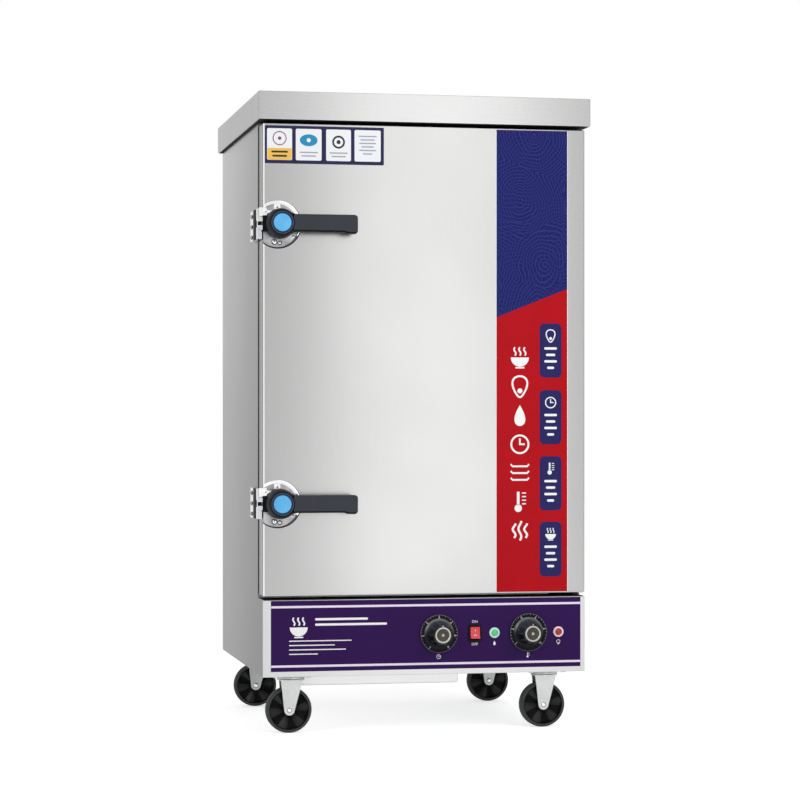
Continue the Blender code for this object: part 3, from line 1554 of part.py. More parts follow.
def hinge_bracket(name, up):
    """An angle on the face frame whose arm carries the door's pivot pin. up is 1 at the base."""
    face = BASE_TOP + FIT if up > 0 else COVER_BOTTOM - FIT
    arm_far = face + up * BRACKET_THICKNESS
    eye = arc((PIVOT_X, PIVOT_Y), BRACKET_EYE, -math.pi, 0, 8)
    back = BODY_FRONT_Y - FIT
    right = PIVOT_X + BRACKET_EYE
    outline = [(right, back), (right - BRACKET_LEG_WIDTH, back), *eye]
    bracket = plate(
        name, [outline], BRACKET_THICKNESS, (0, 0, (face + arm_far) / 2), UPRIGHT, ZINC
    )
    leg_end = face + up * BRACKET_LEG_HEIGHT
    inside = face + up * BRACKET_THICKNESS / 2
    leg = box(
        name + "_leg",
        (right - BRACKET_LEG_WIDTH, back - BRACKET_LEG_THICKNESS, min(inside, leg_end)),
        (right, back, max(inside, leg_end)),
    )
    door_edge = DOOR_BOTTOM if up > 0 else DOOR_TOP
    turn = UPRIGHT if up > 0 else DOWNWARD
    start = (PIVOT_X, PIVOT_Y, inside)
    washer_length = abs(door_edge - inside) - FIT
    washer = rod(name + "_washer", WASHER_RADIUS, washer_length, start, turn, sides=SMALL_STEPS)
    pin_length = abs(door_edge - inside) + PIN_LENGTH
    pin = rod(name + "_pin", PIN_RADIUS, pin_length, start, turn, sides=SMALL_STEPS)
    return join(bracket, leg, washer, pin)


def latch_base(name, z, holder):
    """The round plate on the door with its raised rim, the spindle, and the lug over the claw."""
    centre = LATCH_X - PLATE_OFFSET
    rim = PLATE_RADIUS - PLATE_RIM
    profile = [
        (0, PLATE_THICKNESS - PLATE_RIM / 4),
        (rim - PLATE_RIM / 4, PLATE_THICKNESS - PLATE_RIM / 4),
        (rim, PLATE_THICKNESS),
        (PLATE_RADIUS - PLATE_RIM / 2, PLATE_THICKNESS),
        (PLATE_RADIUS, PLATE_THICKNESS / 2),
        (PLATE_RADIUS, 0),
        (0, 0),
    ]
    start = (centre, FRONT_Y - FIT, z)
    base = turned(name, profile, start, TO_FRONT, CHROME, FINE_STEPS)
    edge = box(
        name + "_edge",
        (centre - PLATE_RADIUS - OVERRUN, FRONT_Y - OVERRUN, z - PLATE_RADIUS - OVERRUN),
        (-HALF_WIDTH + PLATE_EDGE_GAP, FRONT_Y + OVERRUN, z + PLATE_RADIUS + OVERRUN),
    )
    cut(base, edge)
    spindle_length = FRONT_Y - FIT - HUB_BACK_Y + HUB_HEIGHT / 2
    spindle = rod(
        name + "_spindle",
        SPINDLE_RADIUS,
        spindle_length - PLATE_THICKNESS / 2,
        (LATCH_X, FRONT_Y - FIT - PLATE_THICKNESS / 2, z),
        TO_FRONT,
    )
    lug_low = z + LUG_RISE
    lug_right = -HALF_WIDTH - LUG_OVERHANG + LUG_WIDTH
    lug = box(
        name + "_lug",
        (lug_right - LUG_WIDTH, CLAW_BACK_Y - LUG_THICKNESS, lug_low),
        (lug_right, CLAW_BACK_Y, lug_low + LUG_HEIGHT),
        rounding=LUG_THICKNESS / 6,
        segments=1,
    )
    inset = LUG_THICKNESS / 3
    foot = box(
        name + "_foot",
        (-HALF_WIDTH + PLATE_EDGE_GAP + inset, CLAW_BACK_Y - LUG_THICKNESS / 2, lug_low + inset),
        (lug_right - inset, PLATE_FRONT_Y + PLATE_THICKNESS / 2, lug_low + LUG_HEIGHT - inset),
    )
    join(base, spindle, join(foot, lug))
    carry(holder, base)
    return base


def latch_claw(name, z, holder):
    """The chrome claw that turns with the lever, its notched end out over the keeper."""
    outline = arc(
        (0, 0), CLAW_RADIUS, -math.pi + math.asin(CLAW_WIDTH / 2 / CLAW_RADIUS),
        math.pi - math.asin(CLAW_WIDTH / 2 / CLAW_RADIUS), 18,
    )
    tip = CLAW_WIDTH / 4
    half = CLAW_WIDTH / 2
    notch = CLAW_NOTCH_WIDTH / 2
    prong = [(tip - CLAW_REACH, half), (-CLAW_REACH, half - tip / 2)]
    prong += [(-CLAW_REACH, notch), (CLAW_NOTCH_DEPTH - CLAW_REACH, notch)]
    prongs = prong + [(x, -y) for x, y in reversed(prong)]
    bore = arc((0, 0), SPINDLE_RADIUS + RUNNING_GAP, 0, 2 * math.pi * 23 / 24, 23)
    claw = plate(
        name,
        [outline + prongs, bore],
        CLAW_THICKNESS,
        (LATCH_X, (CLAW_BACK_Y + CLAW_FRONT_Y) / 2, z),
        TO_FRONT,
        CHROME,
    )
    carry(holder, claw)
    return claw


def lever_outline():
    """The lever's bar about the hub's axis: filleted root, straight edges and a lipped tip."""
    half = LEVER_WIDTH / 2
    rise = half + LEVER_ROOT_FILLET
    span = HUB_RADIUS - LEVER_ROUNDING / 2 + LEVER_ROOT_FILLET
    root = math.sqrt(span**2 - rise**2)
    touch = math.pi + math.atan2(rise, root)
    upper = arc((root, rise), LEVER_ROOT_FILLET, touch, math.pi * 3 / 2, 3)
    corner = LEVER_REACH - LEVER_CORNER
    foot = half + LEVER_LIP
    tip = arc((corner, half - LEVER_CORNER), LEVER_CORNER, math.pi / 2, 0, 3)
    tip += arc((corner, LEVER_CORNER - foot), LEVER_CORNER, 0, -math.pi / 2, 3)
    lip_start = LEVER_REACH - LEVER_LIP_LENGTH
    lip = [(lip_start + LEVER_LIP, -foot), (lip_start, -half)]
    return upper + tip + lip + [(x, -y) for x, y in reversed(upper)]


def latch_lever(name, z, holder):
    """The hub over the spindle and the long flat lever that grows out of it."""
    bore = SPINDLE_RADIUS + RUNNING_GAP
    seat = HUB_HEIGHT - CAP_SEAT_DEPTH
    depth = HUB_HEIGHT / 2 + RUNNING_GAP
    profile = [
        (0, seat),
        (CAP_RADIUS + FIT, seat),
        (CAP_RADIUS + FIT, HUB_HEIGHT),
        (HUB_RADIUS - HUB_CHAMFER, HUB_HEIGHT),
        (HUB_RADIUS - HUB_CHAMFER / 4, HUB_HEIGHT - HUB_CHAMFER / 2),
        (HUB_RADIUS, HUB_HEIGHT - HUB_CHAMFER * 3 / 2),
        (HUB_RADIUS, 0),
        (bore, 0),
        (bore, depth),
        (0, depth),
    ]
    lever = turned(name, profile, (LATCH_X, HUB_BACK_Y, z), TO_FRONT, BLACK, FINE_STEPS)
    middle = HUB_FRONT_Y + (LEVER_ROUNDING + LEVER_THICKNESS) / 2
    bar = plate(
        name + "_bar", [lever_outline()], LEVER_THICKNESS, (LATCH_X, middle, z), TO_FRONT, BLACK
    )
    join(lever, bevel(bar, LEVER_ROUNDING))
    carry(holder, lever)
    return lever


def latch_cap(name, z, holder):
    """The coloured cap in the hub's seat, slightly domed."""
    rise = CAP_THICKNESS
    profile = [
        (0, rise),
        (CAP_RADIUS / 2, rise - rise / 16),
        (CAP_RADIUS * 7 / 8, rise - rise / 5),
        (CAP_RADIUS, rise - rise / 3),
        (CAP_RADIUS, FIT),
        (0, FIT),
    ]
    start = (LATCH_X, HUB_FRONT_Y + CAP_SEAT_DEPTH, z)
    cap = turned(name, profile, start, TO_FRONT, BLUE, FINE_STEPS)
    carry(holder, cap)
    return cap


def keeper(name, z):
    """The keeper: a lobed flange on the side sheet and an arm forward beside the door's edge."""
    front = BODY_FRONT_Y + KEEPER_SETBACK
    half = KEEPER_HEIGHT / 2
    lobes = []
    for number in range(KEEPER_LOBES):
        share = 2 * number / (KEEPER_LOBES - 1) - 1
        centre = (front + KEEPER_FLANGE_DEPTH - KEEPER_LOBE_RADIUS, share * (half - KEEPER_LOBE_RADIUS))
        lobes += arc(centre, KEEPER_LOBE_RADIUS, -math.pi / 2, math.pi / 2, 5)
    flange = plate(
        name,
        [[(front, -half), *lobes, (front, half)]],
        KEEPER_FLANGE_THICKNESS,
        (-HALF_WIDTH - FIT - KEEPER_FLANGE_THICKNESS / 2, 0, z),
        TO_SIDE,
        CHROME,
    )
    inner = -HALF_WIDTH - KEEPER_DOOR_GAP
    arm = box(
        name + "_arm",
        (inner - KEEPER_ARM_THICKNESS, PLATE_FRONT_Y, z - half),
        (inner, front + KEEPER_FLANGE_DEPTH / 2, z + half),
    )
    slot = box(
        name + "_slot",
        (inner - OVERRUN, FRONT_Y + KEEPER_NOTCH_DEPTH, z - KEEPER_SLOT_HEIGHT / 2),
        (inner + OVERRUN, FRONT_Y + KEEPER_NOTCH_DEPTH + KEEPER_SLOT_LENGTH, z + KEEPER_SLOT_HEIGHT / 2),
    )
    return cut(join(flange, arm), slot)


def caster_place(x_side, y_side):
    x = x_side * (HALF_WIDTH - CASTER_FROM_SIDE)
    y = FRONT_Y + CASTER_FROM_FRONT if y_side < 0 else BACK_Y - CASTER_FROM_BACK
    return Vector((x, y, CASTER_TOP))


def caster_plate(name, place):
    """The fixed plate with the upper raceway and the riveted king pin."""
    outline = rounded_rectangle(
        CASTER_PLATE_WIDTH, CASTER_PLATE_DEPTH, CASTER_PLATE_CORNER, 3
    )
    below = CASTER_PLATE_THICKNESS
    top = plate(
        name, [outline], below, (place.x, place.y, place.z - below / 2), UPRIGHT, ZINC
    )
    race = RACEWAY_HEIGHT
    crown = race + FIT + FORK_CROWN_THICKNESS + FIT
    profile = [
        (0, below / 2),
        (RACEWAY_RADIUS - RACEWAY_CHAMFER, below / 2),
        (RACEWAY_RADIUS, -RACEWAY_CHAMFER),
        (RACEWAY_RADIUS, -race),
        (KING_PIN_RADIUS, -race),
        (KING_PIN_RADIUS, -crown),
        (KING_PIN_HEAD_RADIUS, -crown),
        (KING_PIN_HEAD_RADIUS, -crown - KING_PIN_HEAD),
        (0, -crown - KING_PIN_HEAD),
    ]
    start = (place.x, place.y, place.z - below)
    raceway = turned(name + "_raceway", profile, start, UPRIGHT, ZINC, SMALL_STEPS)
    return join(top, raceway)


def caster_fork(name, place, holder):
    """The swivelling fork: a pressed crown, two tapering legs and the riveted axle."""
    top = place.z - CASTER_PLATE_THICKNESS - RACEWAY_HEIGHT - FIT
    crown_bottom = top - FORK_CROWN_THICKNESS
    bore = KING_PIN_RADIUS + RUNNING_GAP
    profile = [
        (bore, 0),
        (FORK_CROWN_RADIUS - FORK_CROWN_THICKNESS / 2, 0),
        (FORK_CROWN_RADIUS, -FORK_CROWN_THICKNESS / 2),
        (FORK_CROWN_RADIUS, -FORK_CROWN_THICKNESS),
        (bore, -FORK_CROWN_THICKNESS),
    ]
    fork = turned(
        name, profile, (place.x, place.y, top), UPRIGHT, ZINC, SMALL_STEPS, ring=True
    )
    leg_y = WHEEL_WIDTH / 2 + FORK_WHEEL_GAP + FORK_LEG_THICKNESS / 2
    shoulder = crown_bottom + FORK_CROWN_THICKNESS / 2 - WHEEL_RADIUS
    tip = arc((-CASTER_TRAIL, 0), FORK_TIP_RADIUS, -math.pi, 0, 6)
    outline = [*tip, (FORK_LEG_TOP / 2, shoulder), (-FORK_LEG_TOP / 2, shoulder)]
    for side in (-1, 1):
        leg = plate(
            f"{name}_leg_{side + 1}",
            [outline],
            FORK_LEG_THICKNESS,
            (place.x, place.y + side * leg_y, WHEEL_RADIUS),
            TO_FRONT,
            ZINC,
        )
        join(fork, leg)
    reach = leg_y + FORK_LEG_THICKNESS / 2
    head = [(0, reach + RIVET_HEAD), (RIVET_RADIUS, reach + RIVET_HEAD / 4)]
    seat = reach - FORK_LEG_THICKNESS / 2
    neck = [(RIVET_RADIUS, seat), (AXLE_RADIUS, seat)]
    other_end = [(radius, -height) for radius, height in reversed(head + neck)]
    axle_profile = [*head, *neck, *other_end]
    axle_place = (place.x - CASTER_TRAIL, place.y, WHEEL_RADIUS)
    join(fork, turned(name + "_axle", axle_profile, axle_place, TO_FRONT, ZINC, RIVET_STEPS))
    carry(holder, fork)
    return fork


def caster_wheel(name, place, holder):
    """A turned wheel: tread ring, sunk web and hub."""
    half = WHEEL_WIDTH / 2
    tread = TREAD_WIDTH / 2
    web = WEB_THICKNESS / 2
    shoulder = WHEEL_RADIUS - (half - tread)
    rim = WHEEL_RADIUS - TREAD_DEPTH - RIM_DEPTH
    bore = AXLE_RADIUS + AXLE_CLEARANCE
    outer = [(WHEEL_RADIUS, tread), (WHEEL_RADIUS, -tread), (shoulder, -half), (rim, -half)]
    back = [(rim - web / 2, -web), (WHEEL_HUB_RADIUS, -web), (WHEEL_HUB_RADIUS, -half), (bore, -half)]
    front = [(radius, -height) for radius, height in reversed(back)]
    profile = [*outer, *back, *front, (rim, half), (shoulder, half)]
    centre = (place.x - CASTER_TRAIL, place.y, WHEEL_RADIUS)
    wheel = turned(name, profile, centre, TO_FRONT, WHEEL_PLASTIC, ROUND_STEPS, ring=True)
    carry(holder, wheel)
    return wheel


def build_body():
    top_cover()
    side_panel("side_panel_left", -1)
    side_panel("side_panel_right", 1)
    back_panel()
    front_frame()
    chamber_liner()
    water_tank()
    chamber_insulation()
    tray_rack("tray_rack_left", -1)
    tray_rack("tray_rack_right", 1)
    immersion_heater()
    base_pan()
    bottom_pan()
    control_panel()
    hinge_bracket("hinge_bracket_bottom", 1)
    hinge_bracket("hinge_bracket_top", -1)


def build_water_side():
    float_valve_body()
    float_axis = axis_empty("float_axis", float_pivot())
    carry(float_axis, float_arm())
    water_inlet_fitting()
    cable_gland()
    vent_pipe()
    drain_valve_body()
    drain_axis = axis_empty("drain_axis", drain_stem())
    carry(drain_axis, drain_valve_handle())


def build_controls():
    for label, from_edge in (("timer", TIMER_FROM_EDGE), ("thermostat", THERMOSTAT_FROM_EDGE)):
        dial_unit(label + "_unit", from_edge)
        axis = axis_empty(label + "_axis", (control_x(from_edge), FRONT_Y, CONTROL_Z))
        dial_knob(label + "_knob", from_edge, axis)
        knob_cap(label + "_knob_cap", from_edge, axis)
    rocker_housing()
    rocker_axis = axis_empty("rocker_axis", rocker_pivot())
    carry(rocker_axis, rocker())
    pilot_lamp("pilot_lamp_green", GREEN_LAMP_FROM_EDGE, GREEN_LENS)
    pilot_lamp("pilot_lamp_red", RED_LAMP_FROM_EDGE, RED_LENS)
    contactor()


def build_door():
    door_axis = axis_empty("door_axis", (PIVOT_X, PIVOT_Y, DOOR_BOTTOM))
    door_skin(door_axis)
    door_inner_pan(door_axis)
    door_core(door_axis)
    door_gasket(door_axis)
    for label, z in LATCH_HEIGHTS.items():
        latch_base("latch_base_" + label, z, door_axis)
        latch_axis = axis_empty(f"latch_{label}_axis", (LATCH_X, HUB_BACK_Y, z), door_axis)
        latch_claw("latch_claw_" + label, z, latch_axis)
        latch_lever("latch_lever_" + label, z, latch_axis)
        latch_cap("latch_cap_" + label, z, latch_axis)
        keeper("keeper_" + label, z)


def build_casters():
    for y_label, y_side in (("front", -1), ("rear", 1)):
        for x_label, x_side in (("left", -1), ("right", 1)):
            label = f"{y_label}_{x_label}"
            place = caster_place(x_side, y_side)
            caster_plate("caster_plate_" + label, place)
            swivel = axis_empty(f"swivel_{label}_axis", place)
            caster_fork("caster_fork_" + label, place, swivel)
            hub = (place.x - CASTER_TRAIL, place.y, WHEEL_RADIUS)
            wheel_axis = axis_empty(f"wheel_{label}_axis", hub, swivel)
            caster_wheel("caster_wheel_" + label, place, wheel_axis)


build_body()
build_water_side()
build_controls()
build_door()
build_casters()
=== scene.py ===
import math

import bmesh
import bpy
from mathutils import Matrix, Vector


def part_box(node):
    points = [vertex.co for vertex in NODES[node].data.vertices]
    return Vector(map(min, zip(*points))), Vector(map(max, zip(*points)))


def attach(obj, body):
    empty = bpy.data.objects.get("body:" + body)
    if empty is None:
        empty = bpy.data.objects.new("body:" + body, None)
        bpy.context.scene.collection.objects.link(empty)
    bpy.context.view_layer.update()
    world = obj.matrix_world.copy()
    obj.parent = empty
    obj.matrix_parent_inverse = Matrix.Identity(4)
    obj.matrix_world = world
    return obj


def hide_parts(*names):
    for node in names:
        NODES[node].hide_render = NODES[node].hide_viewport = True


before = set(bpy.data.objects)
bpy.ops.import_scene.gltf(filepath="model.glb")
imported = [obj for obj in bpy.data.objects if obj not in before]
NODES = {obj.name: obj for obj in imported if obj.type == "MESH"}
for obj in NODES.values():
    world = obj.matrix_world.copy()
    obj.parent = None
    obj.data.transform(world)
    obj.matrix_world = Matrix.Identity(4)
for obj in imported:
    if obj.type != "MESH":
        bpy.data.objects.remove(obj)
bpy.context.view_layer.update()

CORNERS = ("front_left", "front_right", "rear_left", "rear_right")

DOOR_LOW, DOOR_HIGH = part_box("door_skin")
FRONT_Y = DOOR_LOW.y
BACK_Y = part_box("back_panel")[1].y
HALF_WIDTH = DOOR_HIGH.x
BODY_FRONT_Y = FRONT_Y + 0.072
CONTROL_Z = 0.2065
FILM = 0.00025
FILM_GAP = 0.00003


# Mesh helpers
def link(item):
    bpy.context.scene.collection.objects.link(item)
    return item


def weigh(item):
    """Keeps a broad flat face's shading flat beside its rounded edges."""
    weighted = item.modifiers.new("weighted_normals", "WEIGHTED_NORMAL")
    weighted.mode = "FACE_AREA"
    weighted.weight = 100
    weighted.keep_sharp = True


def piece(name, shape, body, materials, sharp=32, slot=None, replaces=None):
    """A piece of the model from a bmesh, riding on a body, and the CAD node that it stands for."""
    bmesh.ops.recalc_face_normals(shape, faces=shape.faces)
    mesh = bpy.data.meshes.new(name)
    shape.to_mesh(mesh)
    shape.free()
    for item in materials:
        mesh.materials.append(item)
    mesh.shade_smooth()
    mesh.set_sharp_from_angle(angle=math.radians(sharp))
    made = link(bpy.data.objects.new(name, mesh))
    weigh(made)
    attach(made, body)
    if replaces:
        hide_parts(replaces)


def move(x, y, z):
    return Matrix.Translation((x, y, z))


def rotation(angle, axis):
    return Matrix.Rotation(angle, 4, axis)


def towards_front(x, y, z):
    """Local +Z towards the viewer (-Y), local +X to the right, local +Y up."""
    return move(x, y, z) @ rotation(math.pi / 2, "X")


def towards_back(x, y, z):
    return move(x, y, z) @ rotation(-math.pi / 2, "X")


def corners(shape, points, place=Matrix()):
    return [shape.verts.new(place @ Vector(point)) for point in points]


def bridge(shape, one, two, index=0):
    """Faces between two rings of corners, either of which may be a single corner."""
    steps = max(len(one), len(two))
    faces = []
    for step in range(steps):
        after = (step + 1) % steps
        spots = ((one, step), (one, after), (two, after), (two, step))
        around = dict.fromkeys(ring[n % len(ring)] for ring, n in spots)
        faces.append(shape.faces.new(list(around)))
        faces[-1].material_index = index
    return faces


def skin(shape, loops, place=Matrix(), index=0, closed=False, ends=True):
    """Faces over a row of point loops, which closes on itself or has a face at each end.

    index is the material of every face, or one for each stretch between two loops.
    """
    rings = [corners(shape, loop, place) for loop in loops]
    if closed:
        rings.append(rings[0])
    faces = []
    for number, (one, two) in enumerate(zip(rings, rings[1:])):
        faces += bridge(shape, one, two, index if isinstance(index, int) else index[number])
    if ends and not closed:
        for end in (rings[0][::-1], rings[-1]):
            faces.append(shape.faces.new(end))
            faces[-1].material_index = index
    return faces


def mm(*points):
    """Points given in millimetres."""
    return [tuple(value / 1000 for value in point) for point in points]


def turned(radius, height, steps, shift=0.0):
    """A loop of points round the Z axis, or the one point on it."""
    if radius < 1e-7:
        return [(0, 0, height)]
    turns = [2 * math.pi * (step + shift) / steps for step in range(steps)]
    return [(radius * math.cos(turn), radius * math.sin(turn), height) for turn in turns]


def lathe(shape, profile, place, steps=72, index=0, closed=False):
    """A turned form of (radius, height) points."""
    return skin(shape, [turned(*point, steps) for point in profile], place, index, closed, ends=False)


def slab(shape, outline, back, front, place=Matrix(), index=0):
    """A flat form of (x, z) points between two depths."""
    skin(shape, [[(x, depth, z) for x, z in outline] for depth in (front, back)], place, index)


def block(shape, low, high):
    """A box between two corners."""
    outline = [(low[0], low[2]), (high[0], low[2]), (high[0], high[2]), (low[0], high[2])]
    slab(shape, outline, high[1], low[1])


def ribbon(shape, path, width, back, front, place=Matrix(), index=0):
    """A stroke of even width along (x, z) points, joined up where they end at their start."""
    sides = ((1, front), (-1, front), (-1, back), (1, back))
    loops = []
    for number, (x, z) in enumerate(path):
        before, after = path[max(number - 1, 0)], path[min(number + 1, len(path) - 1)]
        along = Vector((after[0] - before[0], after[1] - before[1])).normalized()
        across = Vector((-along.y, along.x)) * (width / 2)
        loops.append([(x + side * across.x, depth, z + side * across.y) for side, depth in sides])
    closed = math.dist(path[0], path[-1]) < 1e-9
    skin(shape, loops[:-1] if closed else loops, place, index, closed)


def circle(cx, cz, radius, steps=28, start=0.0, end=2 * math.pi):
    turns = [start + (end - start) * n / steps for n in range(steps + 1)]
    return [(cx + radius * math.cos(a), cz + radius * math.sin(a)) for a in turns]


def disc(cx, cz, radius, steps=28):
    return circle(cx, cz, radius, steps)[:-1]


def rounded(cx, cz, width, height, radius, steps=6):
    """A rectangle with round corners."""
    points = []
    for quarter, (sx, sz) in enumerate(((1, 1), (-1, 1), (-1, -1), (1, -1))):
        centre = (cx + sx * (width / 2 - radius), cz + sz * (height / 2 - radius))
        points += circle(*centre, radius, steps, quarter * math.pi / 2, (quarter + 1) * math.pi / 2)
    return points


def lettering(shape, words, size, place):
    """Raised characters, centred on the place, reading in its local X and Y."""
    data = bpy.data.curves.new("characters", "FONT")
    data.body = words
    data.size = size
    data.extrude = FILM / 2
    data.align_x = "CENTER"
    data.align_y = "CENTER"
    data.resolution_u = 3
    carrier = link(bpy.data.objects.new("characters", data))
    bpy.context.view_layer.update()
    mesh = bpy.data.meshes.new_from_object(carrier.evaluated_get(bpy.context.evaluated_depsgraph_get()))
    made = corners(shape, [vertex.co for vertex in mesh.vertices], place)
    for polygon in mesh.polygons:
        try:
            shape.faces.new([made[number] for number in polygon.vertices])
        except ValueError:
            continue
    bpy.data.objects.remove(carrier, do_unlink=True)
    bpy.data.meshes.remove(mesh)


# Material helpers
class Nodes:
    """A node tree under construction."""

    def __init__(self, tree):
        self.tree = tree

    def feed(self, socket, value):
        if isinstance(value, bpy.types.NodeSocket):
            self.tree.links.new(value, socket)
        else:
            socket.default_value = value

    def node(self, kind, inputs=None, **properties):
        made = self.tree.nodes.new(kind)
        for key, value in properties.items():
            setattr(made, key, value)
        for key, value in (inputs or {}).items():
            self.feed(made.inputs[key], value)
        return made

    def math(self, operation, one, two=0.0):
        return self.node("ShaderNodeMath", {0: one, 1: two}, operation=operation).outputs[0]

    def remap(self, value, low, high, to_low, to_high, smooth=False):
        inputs = {"Value": value, "From Min": low, "From Max": high, "To Min": to_low, "To Max": to_high}
        kind = "SMOOTHSTEP" if smooth else "LINEAR"
        return self.node("ShaderNodeMapRange", inputs, interpolation_type=kind).outputs[0]

    def mix(self, factor, *pair):
        one, two = (value if isinstance(value, bpy.types.NodeSocket) else (*value, 1.0) for value in pair)
        return self.node("ShaderNodeMix", {0: factor, 6: one, 7: two}, data_type="RGBA").outputs[2]

    def stage_light(self):
        """1 where the stage is seen directly, mirrored or through a lens, and 0 where it lights."""
        rays = self.node("ShaderNodeLightPath").outputs
        mirrored = self.math("MAXIMUM", rays["Is Glossy Ray"], rays["Is Transmission Ray"])
        return self.math("MAXIMUM", rays["Is Camera Ray"], mirrored)


def shade(colour, share):
    return tuple(channel * share for channel in colour)


class Look(Nodes):
    """A surface's material under construction."""

    def __init__(self, name, colour, roughness, metallic=0.0):
        self.material = bpy.data.materials.new(name)
        self.material.use_nodes = True
        super().__init__(self.material.node_tree)
        self.shader = self.tree.nodes["Principled BSDF"]
        self.paint("Base Color", (*colour, 1.0))
        self.paint("Roughness", roughness)
        self.paint("Metallic", metallic)

    def paint(self, socket, value):
        self.feed(self.shader.inputs[socket], value)

    def coords(self, scale=(1, 1, 1), rotation=(0, 0, 0)):
        where = self.node("ShaderNodeTexCoord").outputs["Object"]
        inputs = {"Vector": where, "Scale": scale, "Rotation": rotation}
        return self.node("ShaderNodeMapping", inputs).outputs[0]

    def axes(self):
        where = self.node("ShaderNodeTexCoord").outputs["Object"]
        return self.node("ShaderNodeSeparateXYZ", {0: where}).outputs

    def noise(self, scale, detail, roughness, vector=None):
        inputs = {"Scale": scale, "Detail": detail, "Roughness": roughness, "Vector": vector or self.coords()}
        return self.node("ShaderNodeTexNoise", inputs).outputs[0]

    def cells(self, scale, vector=None, **properties):
        inputs = {"Scale": scale, "Vector": vector or self.coords()}
        return self.node("ShaderNodeTexVoronoi", inputs, **properties).outputs

    def vary(self, value, colour, one, two, low=0.3, high=0.7):
        """The colour between two shares of itself."""
        return self.mix(self.remap(value, low, high, 0, 1), shade(colour, one), shade(colour, two))

    def bump(self, height, strength, distance):
        made = self.node("ShaderNodeBump", {"Height": height, "Strength": strength, "Distance": distance})
        self.paint("Normal", made.outputs[0])


def steel(name, colour, roughness, grain, depth=0.04, edge=0.7, streak=0.012, fold=None, lean=None):
    """Brushed stainless: short fine streaks along the grain, faint broad marks of handling.

    fold is a span of x along a folded corner where a highlight is painted bright, with a paler grazing sheen
    painted on the side face beyond it, and lean the shares of sheen left at the foot and at the front of a
    tall side panel: painted shade, darker towards the foot and the front.
    """
    look = Look(name, colour, roughness, 1.0)
    look.paint("Specular Tint", (edge, edge, edge, 1.0))
    lines = look.noise(1, 4, 0.62, look.coords(grain))
    broad = look.remap(look.noise(3.2, 2, 0.5), 0.35, 0.65, 0, 1, True)
    fine = look.mix(lines, shade(colour, 1 - streak), shade(colour, 1 + streak))
    tone = look.mix(look.math("MULTIPLY", broad, 0.5), fine, shade(colour, 0.97))
    # Painted shade: the sheen of a tall side panel falls towards its foot and its front.
    if lean:
        axes = look.axes()
        rise = look.remap(axes["Z"], 0.12, 1.26, lean[0], 1)
        reach = look.remap(axes["Y"], -0.25, 0.32, lean[1], 1)
        level = look.math("MULTIPLY", look.math("MULTIPLY", rise, reach), edge)
        look.paint("Specular Tint", look.mix(level, (0, 0, 0), (1, 1, 1)))
    # Painted highlight: a bright line along the door's folded corner, and a paler grazing sheen painted on
    # the side face beyond it.
    if fold:
        across = look.axes()["X"]
        middle, half = sum(fold) / 2, (fold[1] - fold[0]) / 2
        away = look.math("ABSOLUTE", look.math("SUBTRACT", across, middle))
        fold_highlight = look.remap(away, half * 0.7, half * 1.3, 1, 0, True)
        tone = look.mix(fold_highlight, tone, (0.93, 0.93, 0.93))
        beyond = look.remap(across, -0.3398, -0.3395, 1, 0, True)
        look.paint("Specular Tint", look.mix(beyond, (edge, edge, edge), (0.62, 0.62, 0.62)))
    look.paint("Base Color", tone)
    drift = look.remap(broad, 0, 1, roughness - 0.012, roughness + 0.012)
    look.paint("Roughness", look.math("ADD", look.remap(lines, 0.25, 0.75, -0.02, 0.02), drift))
    look.bump(lines, depth, 0.0003)
    return look.material


def plastic(name, colour, roughness, grain=900.0, depth=0.12, wear=0.0, coat=0.0, gloss=0.25):
    """Moulded plastic: fine spark-eroded grain, slight tone drift and rubbed places."""
    look = Look(name, colour, roughness)
    look.paint("Specular IOR Level", gloss)
    if coat:
        look.paint("Coat Weight", coat)
        look.paint("Coat Roughness", 0.12)
    fine = look.noise(grain, 2, 0.5)
    broad = look.noise(22, 3, 0.6)
    tone = look.vary(broad, colour, 0.88, 1.12)
    if wear:
        rub = look.remap(look.noise(70, 4, 0.7), 0.62, 0.8, 0, wear, True)
        tone = look.mix(rub, tone, shade(colour, 2.2))
    look.paint("Base Color", tone)
    drift = look.remap(broad, 0.3, 0.7, roughness - 0.04, roughness + 0.05)
    look.paint("Roughness", look.math("ADD", look.remap(fine, 0.3, 0.7, -0.04, 0.04), drift))
    look.bump(fine, depth, 0.0003)
    return look.material


def sheen_painted_plastic(name, colour, roughness, gloss):
    """A dial's moulded plastic with painted light: a highlight painted above its axis, lighter and glossier,
    and shade painted below it, darker and dull.
    """
    look = Look(name, colour, roughness)
    upper = look.remap(look.axes()["Z"], CONTROL_Z - 0.006, CONTROL_Z + 0.016, 0, 1, True)
    fine = look.noise(900, 2, 0.5)
    look.paint("Specular IOR Level", look.remap(upper, 0, 1, 0.1, gloss))
    look.paint("Base Color", look.mix(upper, shade(colour, 0.25), colour))
    look.paint("Roughness", look.remap(fine, 0.3, 0.7, roughness - 0.04, roughness + 0.05))
    look.bump(fine, 0.05, 0.0003)
    return look.material


def film(name, colour, roughness=0.45, drift=0.05):
    """Printed vinyl film, faintly uneven."""
    look = Look(name, colour, roughness)
    look.paint("Specular IOR Level", 0.08)
    fine = look.noise(700, 2, 0.5)
    look.paint("Base Color", look.vary(look.noise(9, 3, 0.6), colour, 1 - drift, 1 + drift))
    look.paint("Roughness", look.remap(fine, 0.3, 0.7, roughness - 0.05, roughness + 0.06))
    look.bump(fine, 0.05, 0.0002)
    return look.material


def chrome(name, colour=(0.62, 0.62, 0.63), roughness=0.14, low=0.9, high=1.08):
    look = Look(name, colour, roughness, 1.0)
    broad, fine = look.noise(38, 3, 0.6), look.noise(420, 3, 0.6)
    look.paint("Base Color", look.vary(broad, colour, low, high))
    look.paint("Roughness", look.remap(fine, 0.25, 0.75, roughness - 0.04, roughness + 0.07))
    look.bump(broad, 0.08, 0.0008)
    return look.material


